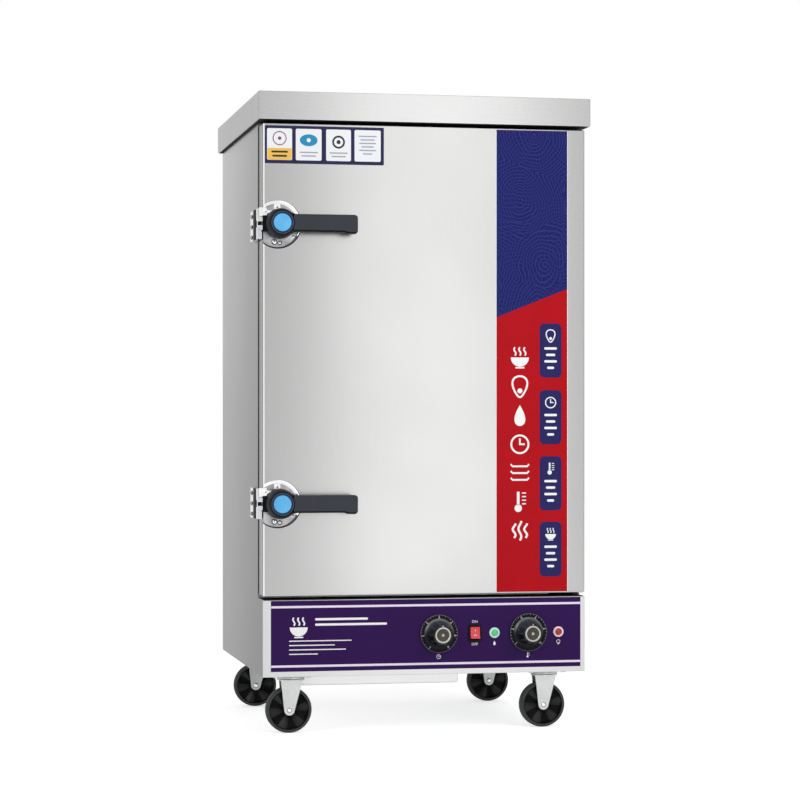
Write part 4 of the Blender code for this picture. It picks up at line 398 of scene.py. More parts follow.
def galvanised(name, colour=(0.56, 0.57, 0.58), roughness=0.36, spread=0.15):
    """Zinc plating: crystalline patches of slightly unlike tone and gloss."""
    look = Look(name, colour, roughness, 1.0)
    patch = look.node("ShaderNodeSeparateColor", {0: look.cells(150)["Color"]}).outputs[0]
    fine = look.noise(260, 3, 0.6)
    broad = look.remap(look.noise(26, 2, 0.5), 0.3, 0.7, 0, 1, True)
    tone = look.mix(patch, shade(colour, 1 - spread), shade(colour, 1 + spread))
    look.paint("Base Color", look.mix(look.math("MULTIPLY", broad, 0.5), tone, shade(colour, 0.84)))
    drift = look.remap(fine, 0.3, 0.7, roughness - 0.03, roughness + 0.04)
    look.paint("Roughness", look.math("ADD", look.remap(patch, 0, 1, -0.05, 0.06), drift))
    look.bump(fine, 0.1, 0.0004)
    return look.material


def blue_field(name):
    """Navy film with two sets of fine, slightly paler rings that bend like waves."""
    deep, pale = (0.009, 0.012, 0.101), (0.027, 0.0315, 0.18)
    look = Look(name, deep, 0.45)
    look.paint("Specular IOR Level", 0.08)
    sets = []
    for tilt, scale, count, weight in ((31, 7.6, 20, 1), (-64, 6.6, 22, 0.62)):
        flat = look.coords((1, 0, 0.85), (-math.pi / 2, 0, math.radians(tilt)))
        rings = look.cells(scale, flat, voronoi_dimensions="2D")["Distance"]
        bend = look.math("MULTIPLY", look.noise(9, 2, 0.5, flat), 9)
        waves = look.math("ADD", look.math("MULTIPLY", rings, count), bend)
        ridge = look.math("ABSOLUTE", look.math("SUBTRACT", look.math("FRACT", waves), 0.5))
        sets.append(look.remap(ridge, 0.03, 0.21, weight, 0, True))
    line = look.math("MAXIMUM", *sets)
    field = look.vary(look.noise(6, 2, 0.5), deep, 0.93, 1.08)
    look.paint("Base Color", look.mix(line, field, pale))
    look.paint("Roughness", look.remap(line, 0, 1, 0.47, 0.4))
    look.bump(look.noise(700, 2, 0.5), 0.05, 0.0002)
    return look.material


def lens(name, colour, glow):
    look = Look(name, colour, 0.18)
    look.paint("Coat Weight", 0.3)
    look.paint("Coat Roughness", 0.05)
    look.paint("Specular IOR Level", 0.3)
    facets = look.cells(900)[0]
    tone = look.vary(facets, colour, 1.15, 0.8, 0, 0.6)
    look.paint("Base Color", tone)
    look.paint("Emission Color", tone)
    look.paint("Emission Strength", glow)
    look.bump(facets, 0.2, 0.0004)
    return look.material


def foam(name, colour):
    look = Look(name, colour, 0.95)
    cells = look.cells(420)[0]
    look.paint("Base Color", look.vary(cells, colour, 0.75, 1.1, 0, 0.7))
    look.bump(cells, 0.5, 0.001)
    return look.material


ALONG_Z = (900.0, 900.0, 14.0)
ALONG_X = (14.0, 900.0, 900.0)
ALONG_Y = (900.0, 14.0, 900.0)
# The door's steel paints a highlight along its folded left corner.
DOOR_STEEL = steel("door_steel", (0.398, 0.398, 0.396), 0.25, ALONG_Z, edge=0.3, fold=(-0.339, -0.3368))
COVER_STEEL = steel("cover_steel", (0.432, 0.432, 0.43), 0.27, ALONG_X, depth=0.006, edge=0.8, streak=0.007)
# The side panels' steel paints shade, darker towards the foot and the front.
SIDE_STEEL = steel("side_steel", (0.46, 0.46, 0.457), 0.34, ALONG_Z, edge=0.97, lean=(0.6, 0.7))
FRAME_STEEL = steel("frame_steel", (0.45, 0.45, 0.447), 0.32, ALONG_X)
PANEL_STEEL = steel("panel_steel", (0.54, 0.54, 0.545), 0.32, ALONG_X)
PAN_STEEL = steel("pan_steel", (0.7, 0.7, 0.695), 0.36, ALONG_X)
LINER_STEEL = steel("liner_steel", (0.52, 0.52, 0.515), 0.38, ALONG_Z, streak=0.05)
TANK_STEEL = steel("tank_steel", (0.48, 0.48, 0.47), 0.4, ALONG_X, streak=0.06)
RACK_STEEL = steel("rack_steel", (0.56, 0.56, 0.555), 0.28, ALONG_Y, streak=0.04)
VENT_STEEL = steel("vent_steel", (0.5, 0.5, 0.495), 0.26, ALONG_Y)
ZINC = galvanised("zinc_plate")
# Painted shade: the hinge brackets get a near-black copy of the zinc, for the one seen in the gap above the
# door.
HINGE_ZINC_PAINTED_SHADE = galvanised("hinge_zinc_painted_shade", (0.03, 0.031, 0.033), 0.45, 0.1)
FORK_ZINC = galvanised("fork_zinc", (0.53, 0.54, 0.54), 0.3, 0.04)
# Painted shade: the rear forks, which stand under the cabinet, get a darker copy of the fork zinc.
REAR_ZINC_PAINTED_SHADE = galvanised("rear_fork_zinc_painted_shade", (0.4, 0.405, 0.41), 0.32, 0.04)
CHROME = chrome("chrome_plate")
FIELD_CHROME = chrome("plate_field_chrome", (0.36, 0.36, 0.37), 0.24, 0.62, 1.3)
# Painted shade on the lower part of the latch plates' rim.
RIM_PAINTED_SHADE = chrome("plate_rim_painted_shade", (0.085, 0.088, 0.092), 0.3)
BRIGHT = chrome("bright_chrome", (0.86, 0.86, 0.87), 0.12)
BRASS = chrome("brass_fittings", (0.6, 0.43, 0.19), 0.3)
HEATER = steel("heater_sheath", (0.3, 0.28, 0.26), 0.42, ALONG_Y, depth=0.2, streak=0.18)
LEVER_BLACK = plastic("lever_black", (0.027, 0.032, 0.04), 0.42, 800.0, 0.16, 0.05, gloss=0.2)
HUB_BLACK = plastic("hub_black", (0.0068, 0.0092, 0.013), 0.42, 800.0, 0.14, 0.03, gloss=0.09)
# Painted highlight: a lighter copy of the hub's black for the small ring on its face.
HUB_RING_HIGHLIGHT = plastic("hub_ring_painted_highlight", (0.06, 0.084, 0.13), 0.4, 800.0, 0.08, gloss=0.2)
# Painted shade: the underside of the lever's bar, and the black sheet on the latch claw.
LEVER_PAINTED_SHADE = plastic("lever_painted_shade", (0.0062, 0.008, 0.0105), 0.46, 800.0, 0.14, gloss=0.07)
KNOB_BLACK = plastic("knob_black", (0.0055, 0.006, 0.0075), 0.24, 900.0, 0.05, 0.03, gloss=0.34)
# KNOB_PANE and KNOB_COVE paint a highlight above the dial's axis and shade below it.
KNOB_PANE = sheen_painted_plastic("knob_pane", (0.017, 0.02, 0.027), 0.3, 0.9)
# Painted highlight on the grip's ridges, all round.
KNOB_RIDGE_HIGHLIGHT = plastic("knob_ridge_painted_highlight", (0.06, 0.065, 0.075), 0.34, 900.0, 0.05, gloss=0.45)
KNOB_COVE = sheen_painted_plastic("knob_cove", (0.04, 0.046, 0.056), 0.3, 1.0)
SKIRT_BLACK = plastic("skirt_black", (0.0045, 0.0045, 0.006), 0.42, 1100.0, 0.1, gloss=0.08)
HOUSING_BLACK = plastic("housing_black", (0.006, 0.006, 0.007), 0.48, gloss=0.1)
GLAND_BLACK = plastic("gland_black", (0.012, 0.012, 0.013), 0.5, 500.0, 0.2, gloss=0.15)
CAP_BLUE = plastic("cap_blue", (0.125, 0.46, 0.82), 0.36, 700.0, 0.08, gloss=0.2)
CAP_EDGE = plastic("cap_seat_navy", (0.012, 0.034, 0.088), 0.36, 700.0, 0.08)
HANDLE_BLUE = plastic("handle_blue", (0.03, 0.13, 0.45), 0.45, 300.0, 0.2, 0.1)
ROCKER_RED = plastic("rocker_red", (0.62, 0.03, 0.045), 0.26, 500.0, 0.05, 0.0, 0.4)
WHEEL_BLACK = plastic("wheel_black", (0.005, 0.0052, 0.005), 0.5, 320.0, 0.2, 0.08, gloss=0.06)
# Painted highlight: a lighter copy of the wheel's black for the spoke flanks.
SPOKE_PAINTED_HIGHLIGHT = plastic("spoke_painted_highlight", (0.017, 0.0175, 0.0172), 0.42, 320.0, 0.2, 0.08, gloss=0.2)
TREAD_GREY = plastic("tread_grey", (0.054, 0.056, 0.057), 0.62, 260.0, 0.3, 0.1, gloss=0.12)
GASKET = plastic("gasket_rubber", (0.012, 0.012, 0.012), 0.72, 380.0, 0.4, gloss=0.08)
SLOT_DARK = plastic("slot_dark", (0.02, 0.02, 0.02), 0.6, gloss=0.08)
CREAM = plastic("switchgear_cream", (0.5, 0.5, 0.46), 0.5, 600.0, 0.15)
BLUE_FIELD = blue_field("navy_wave_film")
RED_FILM = film("red_film", (0.42, 0.004, 0.0095))
NAVY_FILM = film("navy_film", (0.0205, 0.0185, 0.106))
STRIP_NAVY = film("strip_navy_film", (0.027, 0.025, 0.076))
PURPLE_FILM = film("purple_film", (0.0265, 0.0058, 0.07), 0.42)
WHITE_INK = film("white_ink", (0.86, 0.86, 0.86), 0.42, 0.02)
RULE_INK = film("rule_ink", (0.8, 0.72, 0.86), 0.42, 0.02)
CARD_WHITE = film("card_white", (0.82, 0.83, 0.85), 0.4, 0.02)
GREY_INK = film("grey_ink", (0.36, 0.38, 0.44), 0.42, 0.04)
DIM_INK = film("dim_ink", (0.14, 0.135, 0.17), 0.42, 0.04)
BLUE_INK = film("blue_ink", (0.032, 0.26, 0.5), 0.42, 0.04)
SOOT_INK = film("soot_ink", (0.04, 0.04, 0.046), 0.42, 0.04)
RUST_INK = film("rust_ink", (0.23, 0.06, 0.065), 0.42, 0.04)
AMBER_INK = film("amber_ink", (0.84, 0.5, 0.095), 0.4, 0.04)
GREEN_LENS = lens("green_lens", (0.06, 0.52, 0.22), 0.24)
RED_LENS = lens("red_lens", (0.36, 0.016, 0.024), 0.1)
MINT_RIM = plastic("mint_rim", (0.6, 0.82, 0.73), 0.34, 700.0, 0.06)
PINK_RIM = plastic("pink_rim", (0.8, 0.62, 0.66), 0.34, 700.0, 0.06)
BRONZE = steel("bronze_disc", (0.05, 0.046, 0.038), 0.3, (60.0, 900.0, 900.0), streak=0.25)
SILVER_RING = steel("silver_ring", (0.345, 0.335, 0.315), 0.24, (300.0, 300.0, 300.0), streak=0.08)
FOAM = foam("pale_foam", (0.62, 0.52, 0.3))


# CAD nodes
def smoothing():
    """Welds a node's split corners, and smooths its shading except over sharp edges."""
    group = bpy.data.node_groups.new("smooth_by_angle", "GeometryNodeTree")
    for way in ("INPUT", "OUTPUT"):
        group.interface.new_socket("Geometry", in_out=way, socket_type="NodeSocketGeometry")
    nodes = Nodes(group)
    form = nodes.node("NodeGroupInput").outputs[0]
    form = nodes.node("GeometryNodeRemoveAttribute", {"Geometry": form, "Name": "custom_normal"}).outputs[0]
    form = nodes.node("GeometryNodeMergeByDistance", {"Geometry": form, "Distance": 1e-5}).outputs[0]
    form = nodes.node("GeometryNodeSetShadeSmooth", {"Geometry": form}).outputs[0]
    angle = nodes.node("GeometryNodeInputMeshEdgeAngle").outputs["Unsigned Angle"]
    compare = {"data_type": "FLOAT", "operation": "GREATER_THAN"}
    steep = nodes.node("FunctionNodeCompare", {0: angle, 1: math.radians(33)}, **compare).outputs["Result"]
    hard = {"Geometry": form, "Selection": steep, "Shade Smooth": False}
    form = nodes.node("GeometryNodeSetShadeSmooth", hard, domain="EDGE").outputs[0]
    nodes.node("NodeGroupOutput", {0: form})
    return group


SMOOTHING = smoothing()
FINISHES = {
    COVER_STEEL: ["top_cover"],
    SIDE_STEEL: ["side_panel_left", "side_panel_right", "back_panel"],
    FRAME_STEEL: ["front_frame"],
    PANEL_STEEL: ["control_panel"],
    PAN_STEEL: ["bottom_pan"],
    DOOR_STEEL: ["door_skin"],
    LINER_STEEL: ["chamber_liner", "door_inner_pan"],
    TANK_STEEL: ["water_tank"],
    RACK_STEEL: ["tray_rack_left", "tray_rack_right"],
    VENT_STEEL: ["vent_pipe"],
    HEATER: ["immersion_heater"],
    BRASS: ["float_valve_body", "float_arm", "drain_valve_body"],
    CHROME: ["keeper_upper", "keeper_lower", "latch_claw_upper", "latch_claw_lower"],
    # Near-black zinc on the hinge brackets is painted shade.
    HINGE_ZINC_PAINTED_SHADE: ["hinge_bracket_top", "hinge_bracket_bottom"],
    ZINC: ["base_pan"] + ["caster_plate_" + corner for corner in CORNERS],
    FORK_ZINC: ["caster_fork_front_left", "caster_fork_front_right"],
    # Darker zinc on the rear forks is painted shade.
    REAR_ZINC_PAINTED_SHADE: ["caster_fork_rear_left", "caster_fork_rear_right"],
    CREAM: ["timer_unit", "thermostat_unit", "contactor"],
    HOUSING_BLACK: ["rocker_housing"],
    ROCKER_RED: ["rocker_switch"],
    GLAND_BLACK: ["cable_gland", "water_inlet_fitting"],
    HANDLE_BLUE: ["drain_valve_handle"],
    GASKET: ["door_gasket"],
    FOAM: ["door_core", "chamber_insulation"],
}
for finish, names in FINISHES.items():
    for name in names:
        node = NODES[name]
        if not node.material_slots:
            node.data.materials.append(finish)
        for holder in node.material_slots:
            holder.material = finish
        smoothed = node.modifiers.new("smoothing", "NODES")
        smoothed.node_group = SMOOTHING
        weigh(node)


# Seals and painted gap shadows round the door
def seals_and_gap_shadows():
    """Painted shadow: a black strip in the gap at the door's latch edge and a black sheet under the cover's
    rim; and the strip on the sill.
    """
    # Painted shadow: a black strip filling the gap at the door's latch edge.
    lip = bmesh.new()
    edge, back, door_back = -HALF_WIDTH, BODY_FRONT_Y - 0.0008, DOOR_HIGH.y + 0.0003
    outline = [
        (edge - 0.0006, FRONT_Y + 0.055), (edge - 0.0002, FRONT_Y + 0.054), (edge - 0.0002, door_back),
        (edge + 0.01, door_back), (edge + 0.01, back - 0.002), (edge + 0.0085, back),
        (edge + 0.0012, back), (edge - 0.0006, back - 0.003),
    ]
    heights = (DOOR_LOW.z + 0.002, DOOR_HIGH.z - 0.002)
    skin(lip, [[(x, y, z) for x, y in outline] for z in heights])
    piece("door_gap_shadow", lip, "door", [GASKET], slot="gasket_rubber")
    sill = bmesh.new()
    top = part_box("control_panel")[1].z
    for y in (FRONT_Y + 0.0008, FRONT_Y + 0.024, FRONT_Y + 0.046):
        block(sill, (edge + 0.003, y, top + 0.0001), (HALF_WIDTH - 0.003, y + 0.0215, top + 0.001))
    piece("sill_strip", sill, "cabinet", [GASKET], slot="gasket_rubber")
    # Painted shadow: a black sheet under the cover's rim, where only shade falls.
    rim_shadow = bmesh.new()
    cover_low, cover_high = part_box("top_cover")
    low, high = cover_low.z - 0.0006, cover_low.z - 0.0001
    hem, clear = 0.003, 0.0005
    left, right = cover_low.x + hem, cover_high.x - hem
    fore, rear = cover_low.y + hem, cover_high.y - hem
    block(rim_shadow, (left, fore, low), (right, BODY_FRONT_Y - clear, high))
    block(rim_shadow, (left, BODY_FRONT_Y - clear, low), (-HALF_WIDTH - clear, rear, high))
    block(rim_shadow, (HALF_WIDTH + clear, BODY_FRONT_Y - clear, low), (right, rear, high))
    block(rim_shadow, (-HALF_WIDTH - clear, BACK_Y + clear, low), (HALF_WIDTH + clear, rear, high))
    piece("cover_rim_shadow", rim_shadow, "cabinet", [GASKET], slot="gasket_rubber")


# Printed films and signs
def layer(number, lift=0.0):
    """The back and front depth of a film, counted from the door's face."""
    return FRONT_Y - (number - 1) * FILM - FILM_GAP, FRONT_Y - number * FILM - lift


def draw(shape, points, width, depths, index=0, place=Matrix()):
    """A stroke of a width along the points, or the outline filled where the width is 0."""
    if width:
        ribbon(shape, points, width, *depths, place, index)
    else:
        slab(shape, points, *depths, place, index)


def wave(cx, low, high, swing, turns=1.0, steps=14):
    shares = [step / steps for step in range(steps + 1)]
    return [(cx + swing * math.sin(2 * math.pi * turns * n), low + (high - low) * n) for n in shares]


def oblong(left, low, right, high):
    return [(left, low), (right, low), (right, high), (left, high)]


def teardrop(steps, spread, top=0.5):
    """An upright outline whose half width at each turn is given by spread."""
    turns = [2 * math.pi * step / steps for step in range(steps + 1)]
    return [(spread(turn), top * math.cos(turn)) for turn in turns]


# Each sign is a list of points and stroke widths, in shares of its size
BOWL = [(circle(0, 0.02, 0.44, 18, math.pi, 2 * math.pi), 0), (oblong(-0.22, -0.5, 0.22, -0.435), 0)]
BOWL += [(wave(x, 0.11, 0.5, 0.045), 0.075) for x in (-0.24, 0, 0.24)]
FLAME = [(teardrop(24, lambda turn: 0.34 * math.sin(turn) * (1 - 0.42 * math.cos(turn)), -0.5), 0.09)]
FLAME += [(disc(0, -0.2, 0.12, 18), 0)]
DROP = [(teardrop(28, lambda turn: 0.36 * math.sin(turn) * math.sin(turn / 2) ** 1.2)[:-1], 0)]
CLOCK = [
    (circle(0, 0, 0.42, 30), 0.09), ([(0, -0.04), (0, 0.28)], 0.08), ([(0.045, 0), (0.24, 0)], 0.08),
]
TRAYS = [([(-0.44, z + 0.1), (-0.36, z), (0.36, z), (0.44, z + 0.1)], 0.085) for z in (-0.32, 0, 0.32)]
THERMOMETER = [([(-0.08, 0.48), (-0.08, -0.15)], 0.13), (disc(-0.08, -0.3, 0.18, 22), 0)]
THERMOMETER += [(oblong(0.1, z - 0.028, 0.3, z + 0.028), 0) for z in (0.42, 0.25, 0.08, -0.09)]
STEAM = [(wave(x, -high, high, 0.07, 1.25, 20), 0.1) for x, high in ((-0.28, 0.34), (0, 0.46), (0.28, 0.34))]
SIGNS = (BOWL, FLAME, DROP, CLOCK, TRAYS, THERMOMETER, STEAM)


def sign(shape, strokes, cx, cz, size, depths):
    for points, width in strokes:
        draw(shape, [(cx + x * size, cz + z * size) for x, z in points], width * size, depths)


def door_graphics():
    """A navy and a red film that meet on a slope, between two white lines."""
    low, high = DOOR_LOW.z + 0.0032, DOOR_HIGH.z - 0.0032
    left, right = 0.15, 0.302
    cut_left, cut_right = 0.862, 0.9226
    blue = bmesh.new()
    slab(blue, [(left, cut_left), (right, cut_right), (right, high), (left, high)], *layer(1))
    piece("door_film_navy", blue, "door", [BLUE_FIELD], slot="blue_plastic")
    red = bmesh.new()
    slab(red, [(left, low), (right, low), (right, cut_right), (left, cut_left)], *layer(1))
    piece("door_film_red", red, "door", [RED_FILM], slot="red_plastic")
    lines = bmesh.new()
    for x in (left - 0.0012, right):
        slab(lines, oblong(x, low, x + 0.0012, high), *layer(1))
    piece("door_film_edges", lines, "door", [WHITE_INK])


def door_marks():
    """Plain signs in a column, and four navy pills with small signs and bars."""
    column = bmesh.new()
    pitch, size = 0.06, 0.044
    for number, strokes in enumerate(SIGNS):
        sign(column, strokes, 0.2, 0.778 - number * pitch, size, layer(2))
    piece("door_marks", column, "door", [WHITE_INK])
    pills, inks = bmesh.new(), bmesh.new()
    pill_x, above = 0.266, layer(3, FILM_GAP)
    for number, (low, high) in enumerate(((0.737, 0.85), (0.598, 0.711), (0.46, 0.573), (0.322, 0.436))):
        slab(pills, rounded(pill_x, (low + high) / 2, 0.047, high - low, 0.01), *layer(2))
        sign(inks, SIGNS[(number * 2 + 1) % len(SIGNS)], pill_x, high - 0.026, 0.026, above)
        for row, width in enumerate((0.027, 0.02, 0.027, 0.015)):
            slab(inks, rounded(pill_x, high - 0.052 - row * 0.0135, width, 0.005, 0.0022, 4), *above)
    piece("door_pills", pills, "door", [NAVY_FILM])
    piece("door_pill_marks", inks, "door", [WHITE_INK])


def sticker_strip():
    """A navy strip with four white cards: a ring over an amber band, an oval, a thick ring, and bars."""
    strip = bmesh.new()
    slab(strip, rounded(-0.2122, 1.2118, 0.2475, 0.0776, 0.002), *layer(1))
    piece("sticker_strip", strip, "door", [STRIP_NAVY])
    cards, inks = bmesh.new(), bmesh.new()
    middles = []
    for left, right in ((-0.3314, -0.2797), (-0.2721, -0.2186), (-0.2091, -0.1574), (-0.1499, -0.0952)):
        middles.append((left + right) / 2)
        slab(cards, rounded(middles[-1], 1.2124, right - left, 0.0646, 0.003), *layer(2))
    first, second, third, fourth = middles
    finishes = [GREY_INK, AMBER_INK, BLUE_INK, SOOT_INK, RUST_INK, WHITE_INK]
    grey, amber, blue, soot, rust, white = range(6)
    oval = [(second + x * 1.36, 1.2215 + z * 0.9) for x, z in disc(0, 0, 0.0135, 34)]
    shapes = [
        (rounded(first, 1.1925, 0.0497, 0.0235, 0.002), 0, 3, amber),
        (rounded(first, 1.197, 0.034, 0.0038, 0.0014, 3), 0, 4, soot),
        (rounded(first, 1.1885, 0.03, 0.0038, 0.0014, 3), 0, 4, soot),
        (circle(first, 1.2245, 0.0135, 30), 0.0018, 3, rust),
        (disc(first, 1.2245, 0.0035, 20), 0, 3, rust),
        (oval, 0, 3, blue),
        (disc(second, 1.2215, 0.0042, 24), 0, 4, white),
        (circle(third, 1.219, 0.0114, 34), 0.0038, 3, soot),
        (disc(third, 1.219, 0.0042, 24), 0, 3, soot),
    ]
    for middle, top, rows in ((second, 1.1965, 2), (third, 1.1965, 2), (fourth, 1.232, 6)):
        for row, width in enumerate((0.038, 0.03, 0.035, 0.026, 0.036, 0.02)[:rows]):
            shapes.append((rounded(middle, top - row * 0.0072, width, 0.0026, 0.0012, 3), 0, 3, grey))
    for points, width, number, ink in shapes:
        draw(inks, points, width, layer(number), ink)
    piece("sticker_cards", cards, "door", [CARD_WHITE])
    piece("sticker_marks", inks, "door", finishes)


# Control panel graphics
TIMER_X, THERMOSTAT_X, ROCKER_X = 0.027, 0.2173, 0.1035
GREEN_X, RED_X = 0.1456, 0.2826


def panel_film():
    """The purple film on the base, open round each control, with its two white rules."""
    left, right, low, high = -0.3235, 0.3305, 0.1335, 0.2785
    loops = [oblong(left, low, right, high)]
    loops += [disc(x, CONTROL_Z, 0.0105, 32) for x in (TIMER_X, THERMOSTAT_X)]
    loops += [disc(x, CONTROL_Z, 0.01, 32) for x in (GREEN_X, RED_X)]
    loops.append(rounded(ROCKER_X, CONTROL_Z, 0.0265, 0.034, 0.001, 2))
    shape = bmesh.new()
    sheets = []
    for depth in reversed(layer(1)):
        rings = [corners(shape, [(x, depth, z) for x, z in loop]) for loop in loops]
        edges = [shape.edges.new(ends) for ring in rings for ends in zip(ring, ring[1:] + ring[:1])]
        bmesh.ops.triangle_fill(shape, use_beauty=True, use_dissolve=False, edges=edges)
        sheets.append(rings)
    for fore, rear in zip(*sheets):
        for n in range(len(fore)):
            shape.faces.new((fore[n - 1], fore[n], rear[n], rear[n - 1]))
    piece("panel_film", shape, "cabinet", [PURPLE_FILM])
    rules = bmesh.new()
    for low_line, high_line in ((0.2635, 0.268), (0.1422, 0.1467)):
        slab(rules, oblong(left + 0.0005, low_line, right - 0.0005, high_line), *layer(2))
    piece("panel_rules", rules, "cabinet", [RULE_INK])


def panel_marks():
    """Generic marks: a bowl with rules at the left, ON and OFF, and a sign under each dial and lamp."""
    depths = layer(2, FILM_GAP)
    shape = bmesh.new()
    thick, thin = 0.0046, 0.002
    bars = [(-0.232, 0.24, 0.11, thick), (-0.232, 0.229, 0.15, thick)]
    for z, width in ((0.196, 0.13), (0.187, 0.095), (0.178, 0.118), (0.169, 0.06)):
        bars.append((-0.286, z, width, thin))
    for start, z, width, height in bars:
        slab(shape, rounded(start + width / 2, z, width, height, height * 0.45, 3), *depths)
    for words, z in (("ON", CONTROL_Z + 0.0235), ("OFF", CONTROL_Z - 0.0235)):
        lettering(shape, words, 0.0078, towards_front(ROCKER_X, depths[1] + FILM / 2, z))
    under_dial, under_lamp = CONTROL_Z - 0.0475, CONTROL_Z - 0.0215
    sign(shape, BOWL, -0.266, 0.223, 0.042, depths)
    sign(shape, CLOCK, TIMER_X, under_dial, 0.01, depths)
    sign(shape, THERMOMETER, THERMOSTAT_X, under_dial, 0.011, depths)
    sign(shape, DROP, GREEN_X, under_lamp, 0.009, depths)
    sign(shape, FLAME, RED_X, under_lamp, 0.0095, depths)
    piece("panel_marks", shape, "cabinet", [WHITE_INK])


# Knobs, lamps and switch
def dial(label, x, numbers, sweep):
    """The knob: skirt with its scale, fluted conical grip, and the ringed cap."""
    body, knob = label + "_dial", label + "_knob"
    back = FRONT_Y - 0.0015
    place = towards_front(x, back, CONTROL_Z)
    deck, seat, tip = 0.004, 0.0413, 0.043
    skirt = bmesh.new()
    profile = [
        (0.0085, 0.0), (0.039, 0.0), (0.04, 0.0006), (0.04, 0.0024), (0.0394, 0.0036),
        (0.0386, deck), (0.0315, deck), (0.03, 0.0043), (0.0275, 0.0062), (0.0264, 0.008),
        (0.024, 0.008), (0.0085, 0.008),
    ]
    # The cove carries a highlight painted above the axis and shade painted below it.
    lathe(skirt, profile, place, 96, [0] * 6 + [1] * 3 + [0] * 3, closed=True)
    piece(label + "_skirt", skirt, body, [SKIRT_BLACK, KNOB_COVE], slot="black_plastic", replaces=knob)
    grip = bmesh.new()
    flutes, steps = 10, 160
    turns = [2 * math.pi * step / steps for step in range(steps)]
    rows = (
        (0.008, 0.0262, 0.0), (0.0096, 0.026, 0.0), (0.0128, 0.0254, 0.6), (0.018, 0.0246, 1.0),
        (0.036, 0.0216, 1.0), (0.04, 0.0209, 0.55), (0.0418, 0.0202, 0.15), (0.0427, 0.0194, 0.0),
        (tip, 0.018, 0.0),
    )
    loops = []
    for height, radius, share in rows:
        loop = []
        for turn in turns:
            reach = radius - 0.0019 * share * (1 - abs(math.cos(flutes * turn / 2)) ** 5)
            loop.append((reach * math.cos(turn), reach * math.sin(turn), height))
        loops.append(loop)
    loops.append(turned(0.0173, 0.041, steps))
    # Painted light on the grip: a highlight above the axis on its foot and flanks, shade below.
    for number, face in enumerate(skin(grip, loops, place)):
        row, step = divmod(number, steps)
        if row < 3:
            face.material_index = 3
        elif row < 6:
            # Ridge faces get a lighter copy of the plastic: painted highlights.
            face.material_index = 2 if step % 16 in (0, 15) else 1
    lathe(grip, [(0.003, 0.0079), (0.003, -0.0115), (0, -0.0115)], place, 24)
    finishes = [KNOB_BLACK, KNOB_PANE, KNOB_RIDGE_HIGHLIGHT, KNOB_COVE]
    piece(label + "_grip", grip, body, finishes, sharp=24, slot="black_plastic", replaces=knob)
    cap = bmesh.new()
    profile = mm(
        (0, 0), (17, 0), (17, 1.8), (16.4, 2.7), (15.2, 3), (13.6, 2.8), (12.8, 2), (11.8, 1.9), (3, 1.7),
        (2.4, 2.1), (0, 2.2),
    )
    lathe(cap, profile, place @ move(0, 0, seat), 72, [0] * 6 + [1] * 2 + [0] * 2)
    piece(label + "_cap", cap, body, [SILVER_RING, BRONZE], slot="chrome", replaces=label + "_knob_cap")
    scale = bmesh.new()
    face = deck + FILM_GAP
    count = len(numbers) * 5 - 4
    for step in range(count):
        turn = math.radians(90 + sweep / 2 - sweep * step / (count - 1))
        spin = rotation(turn, "Z")
        long = step % 5 == 0
        start, half = (0.0352, 0.0003) if long else (0.0366, 0.00015)
        tick = oblong(start, -half, 0.0382, half)
        skin(scale, [[(*point, height) for point in tick] for height in (face, face + FILM)], place @ spin)
        if long:
            spot = move(0.0331, 0, face + FILM / 2) @ rotation(-math.pi / 2, "Z")
            lettering(scale, numbers[step // 5], 0.0038, place @ spin @ spot)
    rim = [(0.0386, face), (0.0394, face - 0.0004), (0.0394, face + FILM - 0.0004), (0.0386, face + FILM)]
    lathe(scale, rim, place, 96, 1, closed=True)
    piece(label + "_scale", scale, body, [WHITE_INK, DIM_INK])
    pointer = bmesh.new()
    outline = rounded(x, CONTROL_Z + 0.0188, 0.0012, 0.0026, 0.0005, 3)
    slab(pointer, outline, back - tip - FILM_GAP, back - tip - FILM)
    piece(label + "_pointer", pointer, body, [WHITE_INK])


def lamp(label, x, rim, glass):
    """A pilot lamp: domed lens in a pale bezel."""
    shape = bmesh.new()
    rises = [math.pi / 2 * n / 8 for n in range(9)]
    dome = [(0.0072 * math.sin(rise), 0.0034 + 0.003 * math.cos(rise)) for rise in rises]
    bezel = mm((7.4, 3), (9.2, 3.1), (10.4, 2.7), (11, 1.8), (11, 0.4), (5.5, 0.4), (5.5, -24), (0, -24))
    lathe(shape, dome + bezel, towards_front(x, FRONT_Y, CONTROL_Z), 56, [1] * 8 + [0] * 8)
    slot = label + "_lens"
    piece("lamp_" + label, shape, "cabinet", [rim, glass], slot=slot, replaces="pilot_lamp_" + label)


def rocker_marks():
    """The plain bar and ring on the rocker's two slopes."""
    shape = bmesh.new()
    tilt = rotation(math.radians(-9), "X")
    pivot = move(ROCKER_X, FRONT_Y - 0.002, CONTROL_Z) @ tilt
    slope = math.atan2(0.003, 0.012)
    marks = ((1, rounded(0, 0, 0.0012, 0.005, 0.0005, 3), 0), (-1, circle(0, 0, 0.0022, 24), 0.0009))
    for side, points, width in marks:
        lean = move(0, -0.0045, side * 0.006) @ rotation(-side * slope, "X")
        draw(shape, points, width, (-FILM_GAP * 2, -FILM), place=pivot @ lean)
    piece("rocker_marks", shape, "rocker", [WHITE_INK])


# Latches
LATCH_X = -0.306
LATCHES = {"upper": DOOR_HIGH.z - 0.2065, "lower": DOOR_LOW.z + 0.19}
PLATE_Y = FRONT_Y - 0.0003
HUB_Y = FRONT_Y - 0.0133


